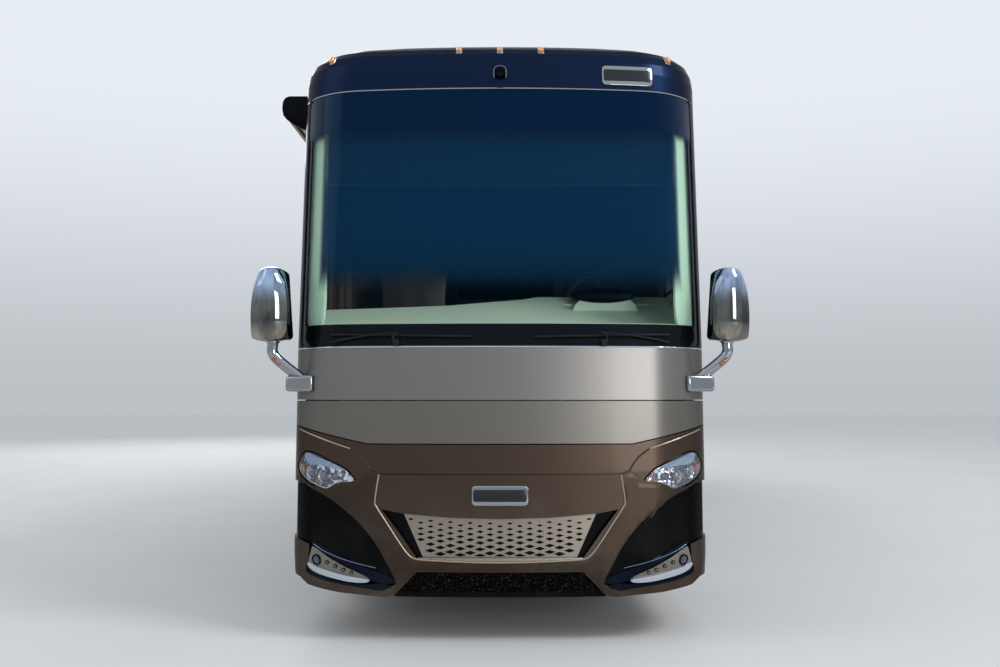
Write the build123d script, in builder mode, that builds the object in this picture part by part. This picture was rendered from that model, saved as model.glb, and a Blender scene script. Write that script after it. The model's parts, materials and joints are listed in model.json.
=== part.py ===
"""A three-axle rear-engined motorhome: bowed moulded nose, panelled sides, two slide-out rooms.

The nose faces -Y, +X is the driver's side and +Z is up. The origin is on the ground, in the middle
of the overall length and width. All lengths are in millimetres.
"""

from build123d import *
import os
from math import atan2, cos, degrees, pi, radians, sin, sqrt

os.makedirs("parts", exist_ok=True)

# Whole vehicle
overall_length = 13690
body_width = 2578
front_overhang = 2200
wheelbase = 7390
tag_spacing = 1270

# Gaps: at a shut line, at a seat that carries a moving piece, and between bonded pieces
shut_gap = 7
seat_gap = 0.3
bond_gap = 0.5

# Heights above the ground
skirt_bottom = 360
skirt_top = 1190
rail_bottom = 1100
floor_bottom = 1300
floor_top = 1330
belt_height = 1418
glass_bottom = 1740
glass_top = 3349
wall_top = 3470
brow_underside = 3250
roof_peak = 3700

# Wall thicknesses
wall_thickness = 50
skirt_thickness = 30
cap_thickness = 45
mask_thickness = 40
panel_thickness = 40

# End caps
bow_radius = 6500
nose_corner = 460
cap_depth = 780
brow_depth = 1050
rear_bow = 12000
rear_corner = 230
rear_cap_depth = 700

front_y = -overall_length / 2
rear_y = overall_length / 2
half_width = body_width / 2
cap_joint = front_y + cap_depth
brow_joint = front_y + brow_depth
rear_joint = rear_y - rear_cap_depth
front_axle_y = front_y + front_overhang
drive_axle_y = front_axle_y + wheelbase
tag_axle_y = drive_axle_y + tag_spacing

# Roof edge and crown, from the wall's top to the middle: height below the peak, narrowing of the half width
crown_outer = 0.30 * half_width
crown_middle = 0.58 * half_width
crown_inner = 0.83 * half_width
roof_rows = (
    (160, 9),
    (105, 34),
    (65, 84),
    (40, 159),
    (18, crown_outer),
    (6, crown_middle),
    (0, crown_inner),
)

# Nose: height, setback behind the foremost point, narrowing of the half width, corner radius
nose_rows = [
    (100, 96, 0, nose_corner),
    (480, 0, 0, nose_corner),
    (1000, 10, 0, nose_corner),
    (belt_height, 30, 0, nose_corner),
    (glass_bottom, 45, 0, nose_corner),
    (glass_top, 250, 0, nose_corner),
    (wall_top, 262, 0, nose_corner),
]
brow_setbacks = (280, 308, 346, 390, 440, 510, 580)
brow_corners = (0.98, 0.93, 0.87, 0.82, 0.72, 0.6, 0.36)
for (drop, narrowing), setback, share in zip(roof_rows, brow_setbacks, brow_corners):
    nose_rows.append((roof_peak - drop, setback, narrowing, share * nose_corner))

# Tail: the same columns, measured forwards from the rearmost point
tail_rows = [
    (skirt_bottom, 60, 0, rear_corner),
    (620, 0, 0, rear_corner),
    (3200, 50, 0, rear_corner),
    (wall_top, 90, 0, rear_corner),
]
tail_setbacks = (105, 130, 165, 210, 260, 320, 380)
tail_corners = (0.98, 0.93, 0.87, 0.82, 0.78, 0.7, 0.5)
for (drop, narrowing), setback, share in zip(roof_rows, tail_setbacks, tail_corners):
    tail_rows.append((roof_peak - drop, setback, narrowing, share * rear_corner))


def block(x, y, z, mode=Mode.ADD):
    """A rectangular block between three pairs of low and high values."""
    with Locations(((x[0] + x[1]) / 2, (y[0] + y[1]) / 2, (z[0] + z[1]) / 2)):
        Box(x[1] - x[0], y[1] - y[0], z[1] - z[0], mode=mode)


def both(pair):
    """The mirror image of a low and high pair of x values."""
    return (-pair[1], -pair[0])


def row_at(rows, height):
    """The row of an end cap's table at any height, between its neighbours."""
    for low, high in zip(rows, rows[1:]):
        if low[0] <= height <= high[0]:
            share = (height - low[0]) / (high[0] - low[0])
            return tuple(a + share * (b - a) for a, b in zip(low, high))
    return rows[-1] if height > rows[-1][0] else rows[0]


def end_solid(rows, low, high, inset, end_y, inward, bow, joint_y):
    """An end cap's solid form between two heights, drawn in by inset on every outer side."""
    used = [row_at(rows, low)] + [r for r in rows if low < r[0] < high] + [row_at(rows, high)]
    with BuildPart() as solid:
        for height, setback, narrowing, corner in used:
            half = half_width - narrowing - inset
            curve = corner - inset
            arc = bow - inset
            nose_y = end_y + inward * (setback + inset)
            centre_y = nose_y + inward * arc
            reach = sqrt((arc - curve) ** 2 - (half - curve) ** 2)
            corner_y = centre_y - inward * reach
            angle = atan2(half - curve, reach)
            middle = (angle + pi / 2) / 2
            touch = (arc * sin(angle), centre_y - inward * arc * cos(angle))
            bend = (half - curve + curve * sin(middle), corner_y - inward * curve * cos(middle))
            with BuildSketch(Plane.XY.offset(height)):
                with BuildLine():
                    ThreePointArc((-touch[0], touch[1]), (0, nose_y), touch)
                    ThreePointArc(touch, bend, (half, corner_y))
                    Polyline(
                        (half, corner_y), (half, joint_y), (-half, joint_y), (-half, corner_y)
                    )
                    ThreePointArc((-half, corner_y), (-bend[0], bend[1]), (-touch[0], touch[1]))
                make_face()
        loft(ruled=True)
    return solid.part


cut_over = 50


def nose_solid(low, high, inset, joint_y):
    """The nose between two heights, back to joint_y."""
    return end_solid(nose_rows, low, high, inset, front_y, 1, bow_radius, joint_y)


def nose_at(x, height):
    """How far forward the nose reaches at a place in the front view."""
    _, setback, narrowing, corner = row_at(nose_rows, height)
    half = half_width - narrowing
    centre_y = front_y + setback + bow_radius
    reach = sqrt((bow_radius - corner) ** 2 - (half - corner) ** 2)
    if abs(x) <= bow_radius * (half - corner) / (bow_radius - corner):
        return centre_y - sqrt(bow_radius**2 - x**2)
    return centre_y - reach - sqrt(corner**2 - (abs(x) - half + corner) ** 2)


def nose_shell(low, high, outer, inner, joint_y):
    """A skin that follows the nose, between two depths below its surface."""
    skin = nose_solid(low, high, outer, joint_y)
    core = nose_solid(low - cut_over, high + cut_over, inner, joint_y + cut_over)
    with BuildPart() as shell:
        add(skin)
        add(core, mode=Mode.SUBTRACT)
    return shell.part


def lowered(rows, inset):
    """A table of rows for a cap's hollow, under its roof."""
    return [(height - inset, setback, narrowing, corner) for height, setback, narrowing, corner in rows]


def front_prism(points, rounding=0):
    """A closed outline in the front view, carried back through the nose."""
    with BuildPart() as prism:
        with BuildSketch(Plane.XZ.offset(-front_y + cut_over)):
            with BuildLine():
                Polyline(*points, close=True)
            make_face()
            if rounding:
                fillet(vertices(), rounding)
        extrude(amount=-(brow_depth + 2 * cut_over))
    return prism.part


def symmetric(points):
    """A closed outline from its half at positive x, given from bottom to top or top to bottom."""
    return list(points) + [(-x, z) for x, z in reversed(points) if x]


def drawn_in(points, gap):
    """The points of a driver's-side outline pulled in towards its middle by a gap."""
    mid_x = sum(p[0] for p in points) / len(points)
    mid_z = sum(p[1] for p in points) / len(points)
    made = []
    for x, z in points:
        share = 1 - gap / sqrt((x - mid_x) ** 2 + (z - mid_z) ** 2)
        made.append((mid_x + (x - mid_x) * share, mid_z + (z - mid_z) * share))
    return made


def front_bar(x, height, radius, low_y, high_y):
    """A round bar that points along the vehicle, between two places on its length."""
    with BuildPart() as bar:
        with Locations((x, (low_y + high_y) / 2, height)):
            Cylinder(radius, high_y - low_y, rotation=(90, 0, 0))
    return bar.part


def export(piece, name):
    """Labels a finished piece and writes it as its own file."""
    piece.part.label = name
    export_step(piece.part, f"parts/{name}.step")


# Nose outlines in the front view, driver's half: x from the middle line, height
belt_two_knee = (786, 1165)
belt_two_edge = (1243, 1265)
side_reach = half_width + cut_over
edge_slope = (belt_two_edge[1] - belt_two_knee[1]) / (belt_two_edge[0] - belt_two_knee[0])
belt_two_side = belt_two_edge[1] + edge_slope * (half_width - belt_two_edge[0])
mask_bottom = 264
mask_corner_rise = 84
notch_top = (487, 419)
notch_bottom = (623, 274)
badge_panel_top = (712, 983)
badge_panel_side = (728, 807)
grille_corner_low = (486, 503)
grille_top_side = (565, 758)
grille_top_middle = 729
grille_low_side = (449, 503)
groove_width = 5
groove_depth = 14
badge_panel_proud = 12

mask_outline = [
    (0, belt_two_knee[1] - shut_gap),
    (belt_two_knee[0], belt_two_knee[1] - shut_gap),
    (half_width, belt_two_side - shut_gap),
    (side_reach, belt_two_side - shut_gap),
    (side_reach, mask_bottom + mask_corner_rise),
    (1221, mask_bottom + mask_corner_rise),
    (1158, 312),
    (959, 286),
    (688, mask_bottom),
    notch_bottom,
    notch_top,
    (0, notch_top[1]),
]
panel_outline = [
    (0, belt_height - shut_gap / 2),
    (side_reach, belt_height - shut_gap / 2),
    (side_reach, belt_two_side),
    (half_width, belt_two_side),
    belt_two_knee,
    (0, belt_two_knee[1]),
]
badge_outline = [
    (0, badge_panel_top[1]),
    badge_panel_top,
    badge_panel_side,
    (694, 782),
    grille_top_side,
    (300, 737),
    (0, grille_top_middle),
]
grille_opening = [
    (0, grille_top_middle),
    (300, 737),
    grille_top_side,
    (694, 782),
    (600, 660),
    grille_corner_low,
    (0, grille_corner_low[1]),
]
grille_plate_outline = [
    (0, grille_top_middle),
    (300, 737),
    grille_top_side,
    grille_low_side,
    (0, grille_corner_low[1]),
]
corner_opening = [
    (side_reach, 925),
    (1223, 925),
    (1047, 872),
    (895, 727),
    (756, 590),
    (660, 452),
    (604, 344),
    (711, 306),
    (993, 345),
    (1155, 383),
    (1141, 559),
    (1215, 577),
    (side_reach, 580),
]
arm_outline = [
    (0, grille_corner_low[1] + 1),
    (grille_corner_low[0], grille_corner_low[1] + 1),
    (600, 660),
    (702, 788),
    (739, 812),
    (722, 995),
    (768, 1012),
    (843, 950),
    (960, 948),
    (1035, 908),
    (1115, 918),
    (1165, 930),
    (1160, 890),
    (1047, 862),
    (895, 715),
    (756, 580),
    (670, 440),
    (612, 335),
    (612, 300),
    (495, 428),
    (0, 428),
]
arm_proud = 6
headlight_outline = [
    (1240, 1020),
    (1200, 1107),
    (1150, 1100),
    (913, 1017),
    (843, 944),
    (952, 934),
    (1029, 896),
    (1120, 905),
    (1205, 945),
]
lamp_pod_outline = [
    (1120, 540),
    (1150, 424),
    (1100, 396),
    (993, 377),
    (820, 350),
    (772, 370),
    (900, 440),
]
upper_blade_outline = [
    (1112, 590),
    (1125, 560),
    (900, 458),
    (760, 384),
    (700, 345),
    (618, 366),
    (760, 430),
    (900, 490),
]
lower_blade_outline = [
    (1150, 404),
    (1150, 386),
    (993, 350),
    (760, 316),
    (718, 312),
    (740, 340),
    (993, 368),
    (1100, 388),
]
insert_depth = 14
lamp_lens_proud = 4
valance_depth = 22
valance_thickness = 30
grille_depth = 16
grille_thickness = 8
backing_depth = 32

# The moulded front skin, its windscreen opening and the seam under the brow
outer_cap = nose_solid(belt_height + shut_gap / 2, roof_peak, 0, brow_joint)
inner_cap = end_solid(
    lowered(nose_rows, cap_thickness),
    belt_height - cut_over,
    roof_peak - cap_thickness,
    cap_thickness,
    front_y,
    1,
    bow_radius,
    brow_joint + cut_over,
)
glass_half_low = 1236
glass_half_high = 1228
glass_rounding = 45
glass_thickness = 8
glass_opening = front_prism(
    symmetric([(glass_half_low, glass_bottom), (glass_half_high, glass_top)]), glass_rounding
)
seam_groove = 4
camera_height = 3460
camera_radius = 32
camera_proud = 24
camera_socket = (14, 8)
camera_y = nose_at(0, camera_height)
seam_ring = nose_shell(glass_top, glass_top + seam_groove, -1, seam_groove, brow_joint + cut_over)
panel_skin = nose_shell(
    belt_two_knee[1] - cut_over, belt_height, 0, panel_thickness, cap_joint
)
panel_prism = front_prism(symmetric(panel_outline))
with BuildPart() as front_panel:
    add(panel_skin)
    add(panel_prism, mode=Mode.INTERSECT)
with BuildPart() as front_cap:
    add(outer_cap)
    add(inner_cap, mode=Mode.SUBTRACT)
    add(glass_opening, mode=Mode.SUBTRACT)
    add(seam_ring, mode=Mode.SUBTRACT)
    block(
        (-side_reach, side_reach),
        (cap_joint, brow_joint + cut_over),
        (belt_height - cut_over, brow_underside),
        mode=Mode.SUBTRACT,
    )
    add(front_panel.part)
    add(front_bar(0, camera_height, camera_radius, camera_y - camera_proud, camera_y + cap_thickness / 2))
    add(
        front_bar(
            0,
            camera_height,
            camera_socket[0],
            camera_y - 2 * camera_proud,
            camera_y - camera_proud + camera_socket[1],
        ),
        mode=Mode.SUBTRACT,
    )
export(front_cap, "front_cap")

glass_prism = front_prism(
    symmetric(
        [
            (glass_half_low - bond_gap, glass_bottom + bond_gap),
            (glass_half_high - bond_gap, glass_top - bond_gap),
        ]
    ),
    glass_rounding,
)
glass_skin = nose_shell(glass_bottom, glass_top, 1, 1 + glass_thickness, cap_joint)
with BuildPart() as windscreen:
    add(glass_skin)
    add(glass_prism, mode=Mode.INTERSECT)
export(windscreen, "windscreen")

# The lower mask, which slides forwards with the generator
mask_skin = nose_shell(mask_bottom, belt_two_side, 0, mask_thickness, cap_joint)
mask_prism = front_prism(symmetric(mask_outline))
badge_skin = nose_shell(
    grille_top_middle - cut_over,
    badge_panel_top[1] + cut_over,
    -badge_panel_proud,
    mask_thickness / 2,
    cap_joint,
)
badge_prism = front_prism(symmetric(badge_outline))
groove_skin = nose_shell(
    grille_top_middle - 2 * cut_over,
    badge_panel_top[1] + 2 * cut_over,
    -badge_panel_proud - 1,
    groove_depth,
    cap_joint,
)
groove_outline = [
    (0, badge_panel_top[1] + groove_width),
    (badge_panel_top[0] + groove_width, badge_panel_top[1] + groove_width),
    (badge_panel_side[0] + groove_width, badge_panel_side[1]),
    badge_panel_side,
    badge_panel_top,
    (0, badge_panel_top[1]),
]
groove_prism = front_prism(symmetric(groove_outline))
grille_cut = front_prism(symmetric(grille_opening))
corner_cuts = []
headlight_cuts = []
for side in (1, -1):
    corner_cuts.append(front_prism([(side * x, z) for x, z in corner_opening]))
    headlight_cuts.append(front_prism([(side * x, z) for x, z in headlight_outline], 16))
with BuildPart() as groove:
    add(groove_skin)
    add(groove_prism, mode=Mode.INTERSECT)
with BuildPart() as badge_panel:
    add(badge_skin)
    add(badge_prism, mode=Mode.INTERSECT)
with BuildPart() as mask_arms:
    add(nose_shell(mask_bottom, badge_panel_top[1] + cut_over, -arm_proud, mask_thickness / 2, cap_joint))
    add(front_prism(symmetric(arm_outline)), mode=Mode.INTERSECT)
with BuildPart() as front_mask:
    add(mask_skin)
    add(mask_prism, mode=Mode.INTERSECT)
    add(mask_arms.part)
    add(badge_panel.part)
    add(groove.part, mode=Mode.SUBTRACT)
    add(grille_cut, mode=Mode.SUBTRACT)
    for cutter in corner_cuts + headlight_cuts:
        add(cutter, mode=Mode.SUBTRACT)
export(front_mask, "front_mask")

# The grille: staggered diamonds that grow wider and taller towards the bottom row
diamond_pitch = 118
diamond_rows = 11
row_pitch = 20.5
diamond_wide = (34, 74)
diamond_tall = (7, 15)
grille_margin = 20
grille_skin = nose_shell(
    grille_corner_low[1] - cut_over,
    grille_top_side[1] + cut_over,
    grille_depth,
    grille_depth + grille_thickness,
    cap_joint,
)
grille_prism = front_prism(symmetric(grille_plate_outline))
first_row = grille_corner_low[1] + grille_margin
with BuildPart() as diamonds:
    with BuildSketch(Plane.XZ.offset(-front_y + cut_over)):
        for row in range(diamond_rows):
            height = first_row + row * row_pitch
            fade = row / (diamond_rows - 1)
            wide = diamond_wide[1] + fade * (diamond_wide[0] - diamond_wide[1])
            tall = diamond_tall[1] + fade * (diamond_tall[0] - diamond_tall[1])
            share = (height - grille_low_side[1]) / (grille_top_side[1] - grille_low_side[1])
            half_row = grille_low_side[0] + share * (grille_top_side[0] - grille_low_side[0])
            half_row -= wide / 2 + grille_margin / 2
            shift = diamond_pitch / 2 * (row % 2)
            sag = grille_top_side[1] - grille_top_middle
            for step in range(-5, 6):
                x = step * diamond_pitch + shift
                top = grille_top_middle + sag * (x / grille_top_side[0]) ** 2 - grille_margin / 2
                if abs(x) <= half_row and height + tall / 2 <= top:
                    with BuildLine():
                        Polyline(
                            (x - wide / 2, height),
                            (x, height - tall / 2),
                            (x + wide / 2, height),
                            (x, height + tall / 2),
                            close=True,
                        )
                    make_face()
    extrude(amount=-(cap_depth))
with BuildPart() as grille:
    add(grille_skin)
    add(grille_prism, mode=Mode.INTERSECT)
    add(diamonds.part, mode=Mode.SUBTRACT)
export(grille, "grille")

# Black pieces of the mask: corner inserts with their blades, grille backing and valance
insert_skin = nose_shell(
    mask_bottom - cut_over, 925 + cut_over, insert_depth, mask_thickness, cap_joint
)
blade_skin = nose_shell(mask_bottom - cut_over, 925, 0, insert_depth + 2, cap_joint)
backing_skin = nose_shell(
    grille_corner_low[1] - cut_over,
    grille_top_side[1] + 2 * cut_over,
    backing_depth,
    mask_thickness,
    cap_joint,
)
valance_skin = nose_shell(
    mask_bottom, notch_top[1], valance_depth, valance_depth + valance_thickness, cap_joint
)
valance_prism = front_prism(
    symmetric(
        [
            (0, mask_bottom),
            (notch_bottom[0], mask_bottom),
            (notch_bottom[0] - bond_gap, notch_bottom[1]),
            (notch_top[0] - bond_gap, notch_top[1] - bond_gap),
            (0, notch_top[1] - bond_gap),
        ]
    )
)
backing_prism = front_prism(symmetric(grille_opening))
blade_prisms = []
for side in (1, -1):
    for outline in (upper_blade_outline, lower_blade_outline):
        blade_prisms.append(front_prism([(side * x, z) for x, z in outline]))
insert_parts = []
for cutter in corner_cuts:
    with BuildPart() as insert:
        add(insert_skin)
        add(cutter, mode=Mode.INTERSECT)
    insert_parts.append(insert.part)
blade_parts = []
for prism in blade_prisms:
    with BuildPart() as blade:
        add(blade_skin)
        add(prism, mode=Mode.INTERSECT)
    blade_parts.append(blade.part)
with BuildPart() as valance:
    add(valance_skin)
    add(valance_prism, mode=Mode.INTERSECT)
with BuildPart() as backing:
    add(backing_skin)
    add(backing_prism, mode=Mode.INTERSECT)
with BuildPart() as bumper_inserts:
    for piece in insert_parts + blade_parts:
        add(piece)
    add(valance.part)
    add(backing.part)
export(bumper_inserts, "bumper_inserts")

# Headlights: a cover open at the back, and behind it a bowl with projector barrels; and the lamp pods
lens_thickness = 4
lens_wall = 5
bowl_depth = 30
projector_rows = ((1150, 985, 36), (1062, 966, 33), (985, 968, 22))
fog_rows = ((1086, 474, 30), (1014, 446, 14), (966, 427, 14), (920, 410, 13), (878, 395, 11))
fog_depth = 8
headlight_inner = drawn_in(headlight_outline, bond_gap)
lens_skin = nose_shell(850, 1150, -lamp_lens_proud, bowl_depth, cap_joint)
lens_hollow = nose_shell(800, 1200, lens_thickness - lamp_lens_proud, bowl_depth + 1, cap_joint)
bowl_skin = nose_shell(850, 1150, bowl_depth + seat_gap, mask_thickness, cap_joint)
barrel_space = nose_solid(800, 1200, lens_thickness - lamp_lens_proud + seat_gap, cap_joint)
pod_skin = nose_shell(300, 600, -2, insert_depth - seat_gap, cap_joint)
lamp_parts = []
for side in (1, -1):
    cover_prism = front_prism([(side * x, z) for x, z in headlight_inner], 16)
    hollow_prism = front_prism([(side * x, z) for x, z in drawn_in(headlight_inner, 2 * lens_wall)], 12)
    pod_prism = front_prism([(side * x, z) for x, z in lamp_pod_outline], 8)
    with BuildPart() as hollow:
        add(lens_hollow)
        add(hollow_prism, mode=Mode.INTERSECT)
    with BuildPart() as cover:
        add(lens_skin)
        add(cover_prism, mode=Mode.INTERSECT)
        add(hollow.part, mode=Mode.SUBTRACT)
    with BuildPart() as barrels:
        for x, z, radius in projector_rows:
            y = nose_at(x, z)
            add(front_bar(side * x, z, radius, y - lamp_lens_proud, y + bowl_depth + 6))
            add(front_bar(side * x, z, 0.7 * radius, y - 2 * lamp_lens_proud, y + 12), mode=Mode.SUBTRACT)
        add(barrel_space, mode=Mode.INTERSECT)
    with BuildPart() as bowl:
        add(bowl_skin)
        add(cover_prism, mode=Mode.INTERSECT)
        add(barrels.part)
    with BuildPart() as pod:
        add(pod_skin)
        add(pod_prism, mode=Mode.INTERSECT)
        for x, z, radius in fog_rows:
            y = nose_at(x, z)
            add(front_bar(side * x, z, radius, y - cut_over, y + fog_depth), mode=Mode.SUBTRACT)
    lamp_parts += [cover.part, bowl.part, pod.part]
with BuildPart() as front_lamps:
    for piece in lamp_parts:
        add(piece)
    for prism in blade_prisms:
        add(prism, mode=Mode.SUBTRACT)
export(front_lamps, "front_lamps")

# Frame rails, in box section, with cross members and the fuel tank hung below
rail_x = (365, 440)
rail_y = (-6650, 6300)
rail_wall = 8
crossmember_rows = (-6600, -5400, -3900, -3380, -1600, 200, 2050, 3380, 4760, 6265)
crossmember_width = 30
crossmember_z = (1130, 1270)
tank_x = (-1150, 1150)
tank_y = (-3960, -3420)
tank_z = (560, rail_bottom - bond_gap)
tank_rounding = 60
guide_x = (398, 407)
guide_flange_x = (386, 419)
guide_z = (1060, 1075)
with BuildPart() as rails:
    for side in (1, -1):
        span = rail_x if side > 0 else both(rail_x)
        block(span, rail_y, (rail_bottom, floor_bottom - bond_gap))
        inner = (span[0] + rail_wall, span[1] - rail_wall)
        reach = (rail_y[0] - cut_over, rail_y[1] + cut_over)
        block(
            inner,
            reach,
            (rail_bottom + rail_wall, floor_bottom - bond_gap - rail_wall),
            mode=Mode.SUBTRACT,
        )
    for y in crossmember_rows:
        block((-rail_x[0], rail_x[0]), (y, y + crossmember_width), crossmember_z)
    for side in (1, -1):
        web = guide_x if side > 0 else both(guide_x)
        flange = guide_flange_x if side > 0 else both(guide_flange_x)
        block(web, (rail_y[0], -5000), (guide_z[1], rail_bottom))
        block(flange, (rail_y[0], -5000), guide_z)
with BuildPart() as tank:
    block(tank_x, tank_y, tank_z)
    fillet(tank.edges().filter_by(Axis.X), tank_rounding)
with BuildPart() as frame:
    add(rails.part)
    add(tank.part)
export(frame, "frame")

# Wheels and axles: distances from the middle line and along each wheel's own axle
hub_height = 525
tyre_radius = 525
steer_offset = 1040
twin_middle = 905
twin_offset = 170
spindle_radius = 45
kingpin_x = 960
kingpin_radius = 18
kingpin_z = (405, 645)
eye_z = (465, 585)
eye_radius = 42
beam_half = 55
tube_radius = 70
spring_x = 402
spring_radius = 110
spring_rows = (-150, 150)
tyre_width = 300
tyre_flats = 44
bead_radius = 287.6
shoulder_height = 110
shoulder_run = 34
sidewall_height = 118
sidewall_run = 40
rim_profile = [
    (-126, 276),
    (-126, 300),
    (-118, 300),
    (-118, 286.5),
    (118, 286.5),
    (118, 300),
    (126, 300),
    (126, 276),
    (78, 276),
    (78, 105),
    (120, 105),
    (130, 80),
    (130, 0),
    (120, 0),
    (120, spindle_radius + seat_gap),
    (5, spindle_radius + seat_gap),
    (5, 100),
    (60, 100),
    (60, 276),
]
twin_rim_profile = [
    (44, 276),
    (44, 300),
    (52, 300),
    (52, 286.5),
    (288, 286.5),
    (288, 300),
    (296, 300),
    (296, 276),
    (60, 276),
    (60, 262),
    (14, 262),
    (14, 110),
    (200, 110),
    (230, 85),
    (230, 0),
    (220, 0),
    (220, spindle_radius + seat_gap),
    (-60, spindle_radius + seat_gap),
    (-60, 110),
    (-14, 110),
    (-14, 262),
    (-60, 262),
    (-60, 276),
    (-296, 276),
    (-296, 300),
    (-288, 300),
    (-288, 286.5),
    (-52, 286.5),
    (-52, 300),
    (-44, 300),
    (-44, 276),
]
hand_holes = 10
hand_hole_radius = 29
hand_hole_ring = 200
hand_hole_reach = 35


def turned(profile):
    """A rim turned about its axle, from points of distance along the axle and radius, with hand holes."""
    with BuildPart() as piece:
        with BuildSketch(Plane.XY):
            with BuildLine():
                Polyline(*profile, close=True)
            make_face()
        revolve(axis=Axis.X)
        with BuildSketch(Plane.YZ.offset(-hand_hole_reach)):
            with PolarLocations(hand_hole_ring, hand_holes):
                Circle(hand_hole_radius)
        extrude(amount=3 * hand_hole_reach, mode=Mode.SUBTRACT)
    return piece.part


with BuildPart() as tyre:
    with BuildSketch(Plane.YZ.offset(-tyre_width / 2)):
        RegularPolygon(tyre_radius, tyre_flats)
        RegularPolygon(bead_radius, tyre_flats, mode=Mode.SUBTRACT)
    extrude(amount=tyre_width)
    for end in (0, -1):
        cap = tyre.faces().sort_by(Axis.X)[end]
        chamfer(cap.outer_wire().edges(), shoulder_height, shoulder_run, reference=cap)
    for end in (0, -1):
        cap = tyre.faces().sort_by(Axis.X)[end]
        chamfer(cap.inner_wires()[0].edges(), sidewall_height, sidewall_run, reference=cap)
single_rim = turned(rim_profile)
twin_rim = turned(twin_rim_profile)
wheel_rows = (
    ("front", front_axle_y, steer_offset, (0,), single_rim),
    ("drive", drive_axle_y, twin_middle, (-twin_offset, twin_offset), twin_rim),
    ("tag", tag_axle_y, steer_offset, (0,), single_rim),
)
for place, axle_y, middle, spread, rim in wheel_rows:
    for side, hand in ((1, "driver"), (-1, "curb")):
        shown = rim if side > 0 else mirror(rim, about=Plane.YZ)
        with BuildPart() as tyres:
            with Locations([(side * (middle + shift), axle_y, hub_height) for shift in spread]):
                add(tyre.part)
        export(tyres, f"{place}_tyre_{hand}")
        with BuildPart() as rims:
            with Locations((side * middle, axle_y, hub_height)):
                add(shown)
        export(rims, f"{place}_rim_{hand}")

# Front beam with its kingpins, drive axle and tag axle, each under its air springs
beam_reach = 860
beam_z = (465, 555)
beam_tip_half = 38
beam_tip_z = (478, 552)
front_spring_low = 550
drive_seat_z = (490, 530)
drive_seat_half = (60, 240)
drive_spring_low = 510
pumpkin = (190, 300)
with BuildPart() as front_axle:
    block((-beam_reach, beam_reach), (front_axle_y - beam_half, front_axle_y + beam_half), beam_z)
    for side in (1, -1):
        with Locations((side * kingpin_x, front_axle_y, (eye_z[0] + eye_z[1]) / 2)):
            Cylinder(eye_radius, eye_z[1] - eye_z[0])
        with Locations((side * kingpin_x, front_axle_y, (kingpin_z[0] + kingpin_z[1]) / 2)):
            Cylinder(kingpin_radius, kingpin_z[1] - kingpin_z[0])
        span = (beam_reach - 10, kingpin_x) if side > 0 else (-kingpin_x, 10 - beam_reach)
        block(span, (front_axle_y - beam_tip_half, front_axle_y + beam_tip_half), beam_tip_z)
        with Locations((side * spring_x, front_axle_y, (front_spring_low + rail_bottom - bond_gap) / 2)):
            Cylinder(spring_radius, rail_bottom - bond_gap - front_spring_low)
with BuildPart() as drive_axle:
    with Locations((0, drive_axle_y, hub_height)):
        Cylinder(tube_radius, 2 * (twin_middle - 65), rotation=(0, 90, 0))
        Cylinder(spindle_radius, 2 * (twin_middle + 210), rotation=(0, 90, 0))
        Cylinder(*pumpkin, rotation=(0, 90, 0))
    for side in (1, -1):
        for row in spring_rows:
            spring_middle = (drive_spring_low + rail_bottom - bond_gap) / 2
            with Locations((side * spring_x, drive_axle_y + row, spring_middle)):
                Cylinder(spring_radius - 20, rail_bottom - bond_gap - drive_spring_low)
        block(
            (side * spring_x - drive_seat_half[0], side * spring_x + drive_seat_half[0]),
            (drive_axle_y - drive_seat_half[1], drive_axle_y + drive_seat_half[1]),
            drive_seat_z,
        )
with BuildPart() as tag_axle:
    with Locations((0, tag_axle_y, hub_height)):
        Cylinder(tube_radius - 10, 2 * (steer_offset - 5), rotation=(0, 90, 0))
        Cylinder(spindle_radius, 2 * (steer_offset + 108), rotation=(0, 90, 0))
    for side in (1, -1):
        with Locations((side * spring_x, tag_axle_y, (front_spring_low + rail_bottom - bond_gap) / 2)):
            Cylinder(spring_radius, rail_bottom - bond_gap - front_spring_low)
with BuildPart() as axles:
    add(front_axle.part)
    add(drive_axle.part)
    add(tag_axle.part)
export(axles, "axles")

# Steering knuckles and the rod between their arms
arm_pin_x = kingpin_x
arm_pin_y = front_axle_y + 150
arm_z = (420, eye_z[0] - seat_gap)
upper_arm_z = (eye_z[1] + seat_gap, 630)
rod_radius = 16
ball_radius = 24
arm_pin_radius = 10
yoke_x = (kingpin_x - 45, 1008, 1035)
yoke_y = (front_axle_y - 50, front_axle_y + 50)
spindle_x = (1030, steer_offset + 110)
steering_arm = (
    (kingpin_x - 40, front_axle_y + 40),
    (arm_pin_x - 24, arm_pin_y),
    (arm_pin_x - 12, arm_pin_y + 22),
    (arm_pin_x + 12, arm_pin_y + 22),
    (arm_pin_x + 24, arm_pin_y),
    (kingpin_x + 20, front_axle_y + 40),
)
with BuildPart() as knuckle:
    block((yoke_x[0], yoke_x[2]), yoke_y, arm_z)
    block((yoke_x[0], yoke_x[2]), yoke_y, upper_arm_z)
    block((yoke_x[1], yoke_x[2]), yoke_y, (arm_z[0], upper_arm_z[1]))
    with BuildSketch(Plane.YZ.offset(spindle_x[0])):
        with Locations((front_axle_y, hub_height)):
            Circle(spindle_radius)
    extrude(amount=spindle_x[1] - spindle_x[0])
    with BuildSketch(Plane.XY.offset(arm_z[0])):
        with BuildLine():
            Polyline(*steering_arm, close=True)
        make_face()
    extrude(amount=24)
    with Locations((kingpin_x, front_axle_y, hub_height)):
        Cylinder(kingpin_radius + seat_gap, 300, mode=Mode.SUBTRACT)
    with Locations((arm_pin_x, arm_pin_y, arm_z[0] - 12)):
        Cylinder(arm_pin_radius, 70)
export(knuckle, "knuckle_driver")
with BuildPart() as knuckle_curb:
    add(mirror(knuckle.part, about=Plane.YZ))
export(knuckle_curb, "knuckle_curb")
rod_z = arm_z[0] - seat_gap - ball_radius
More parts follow.
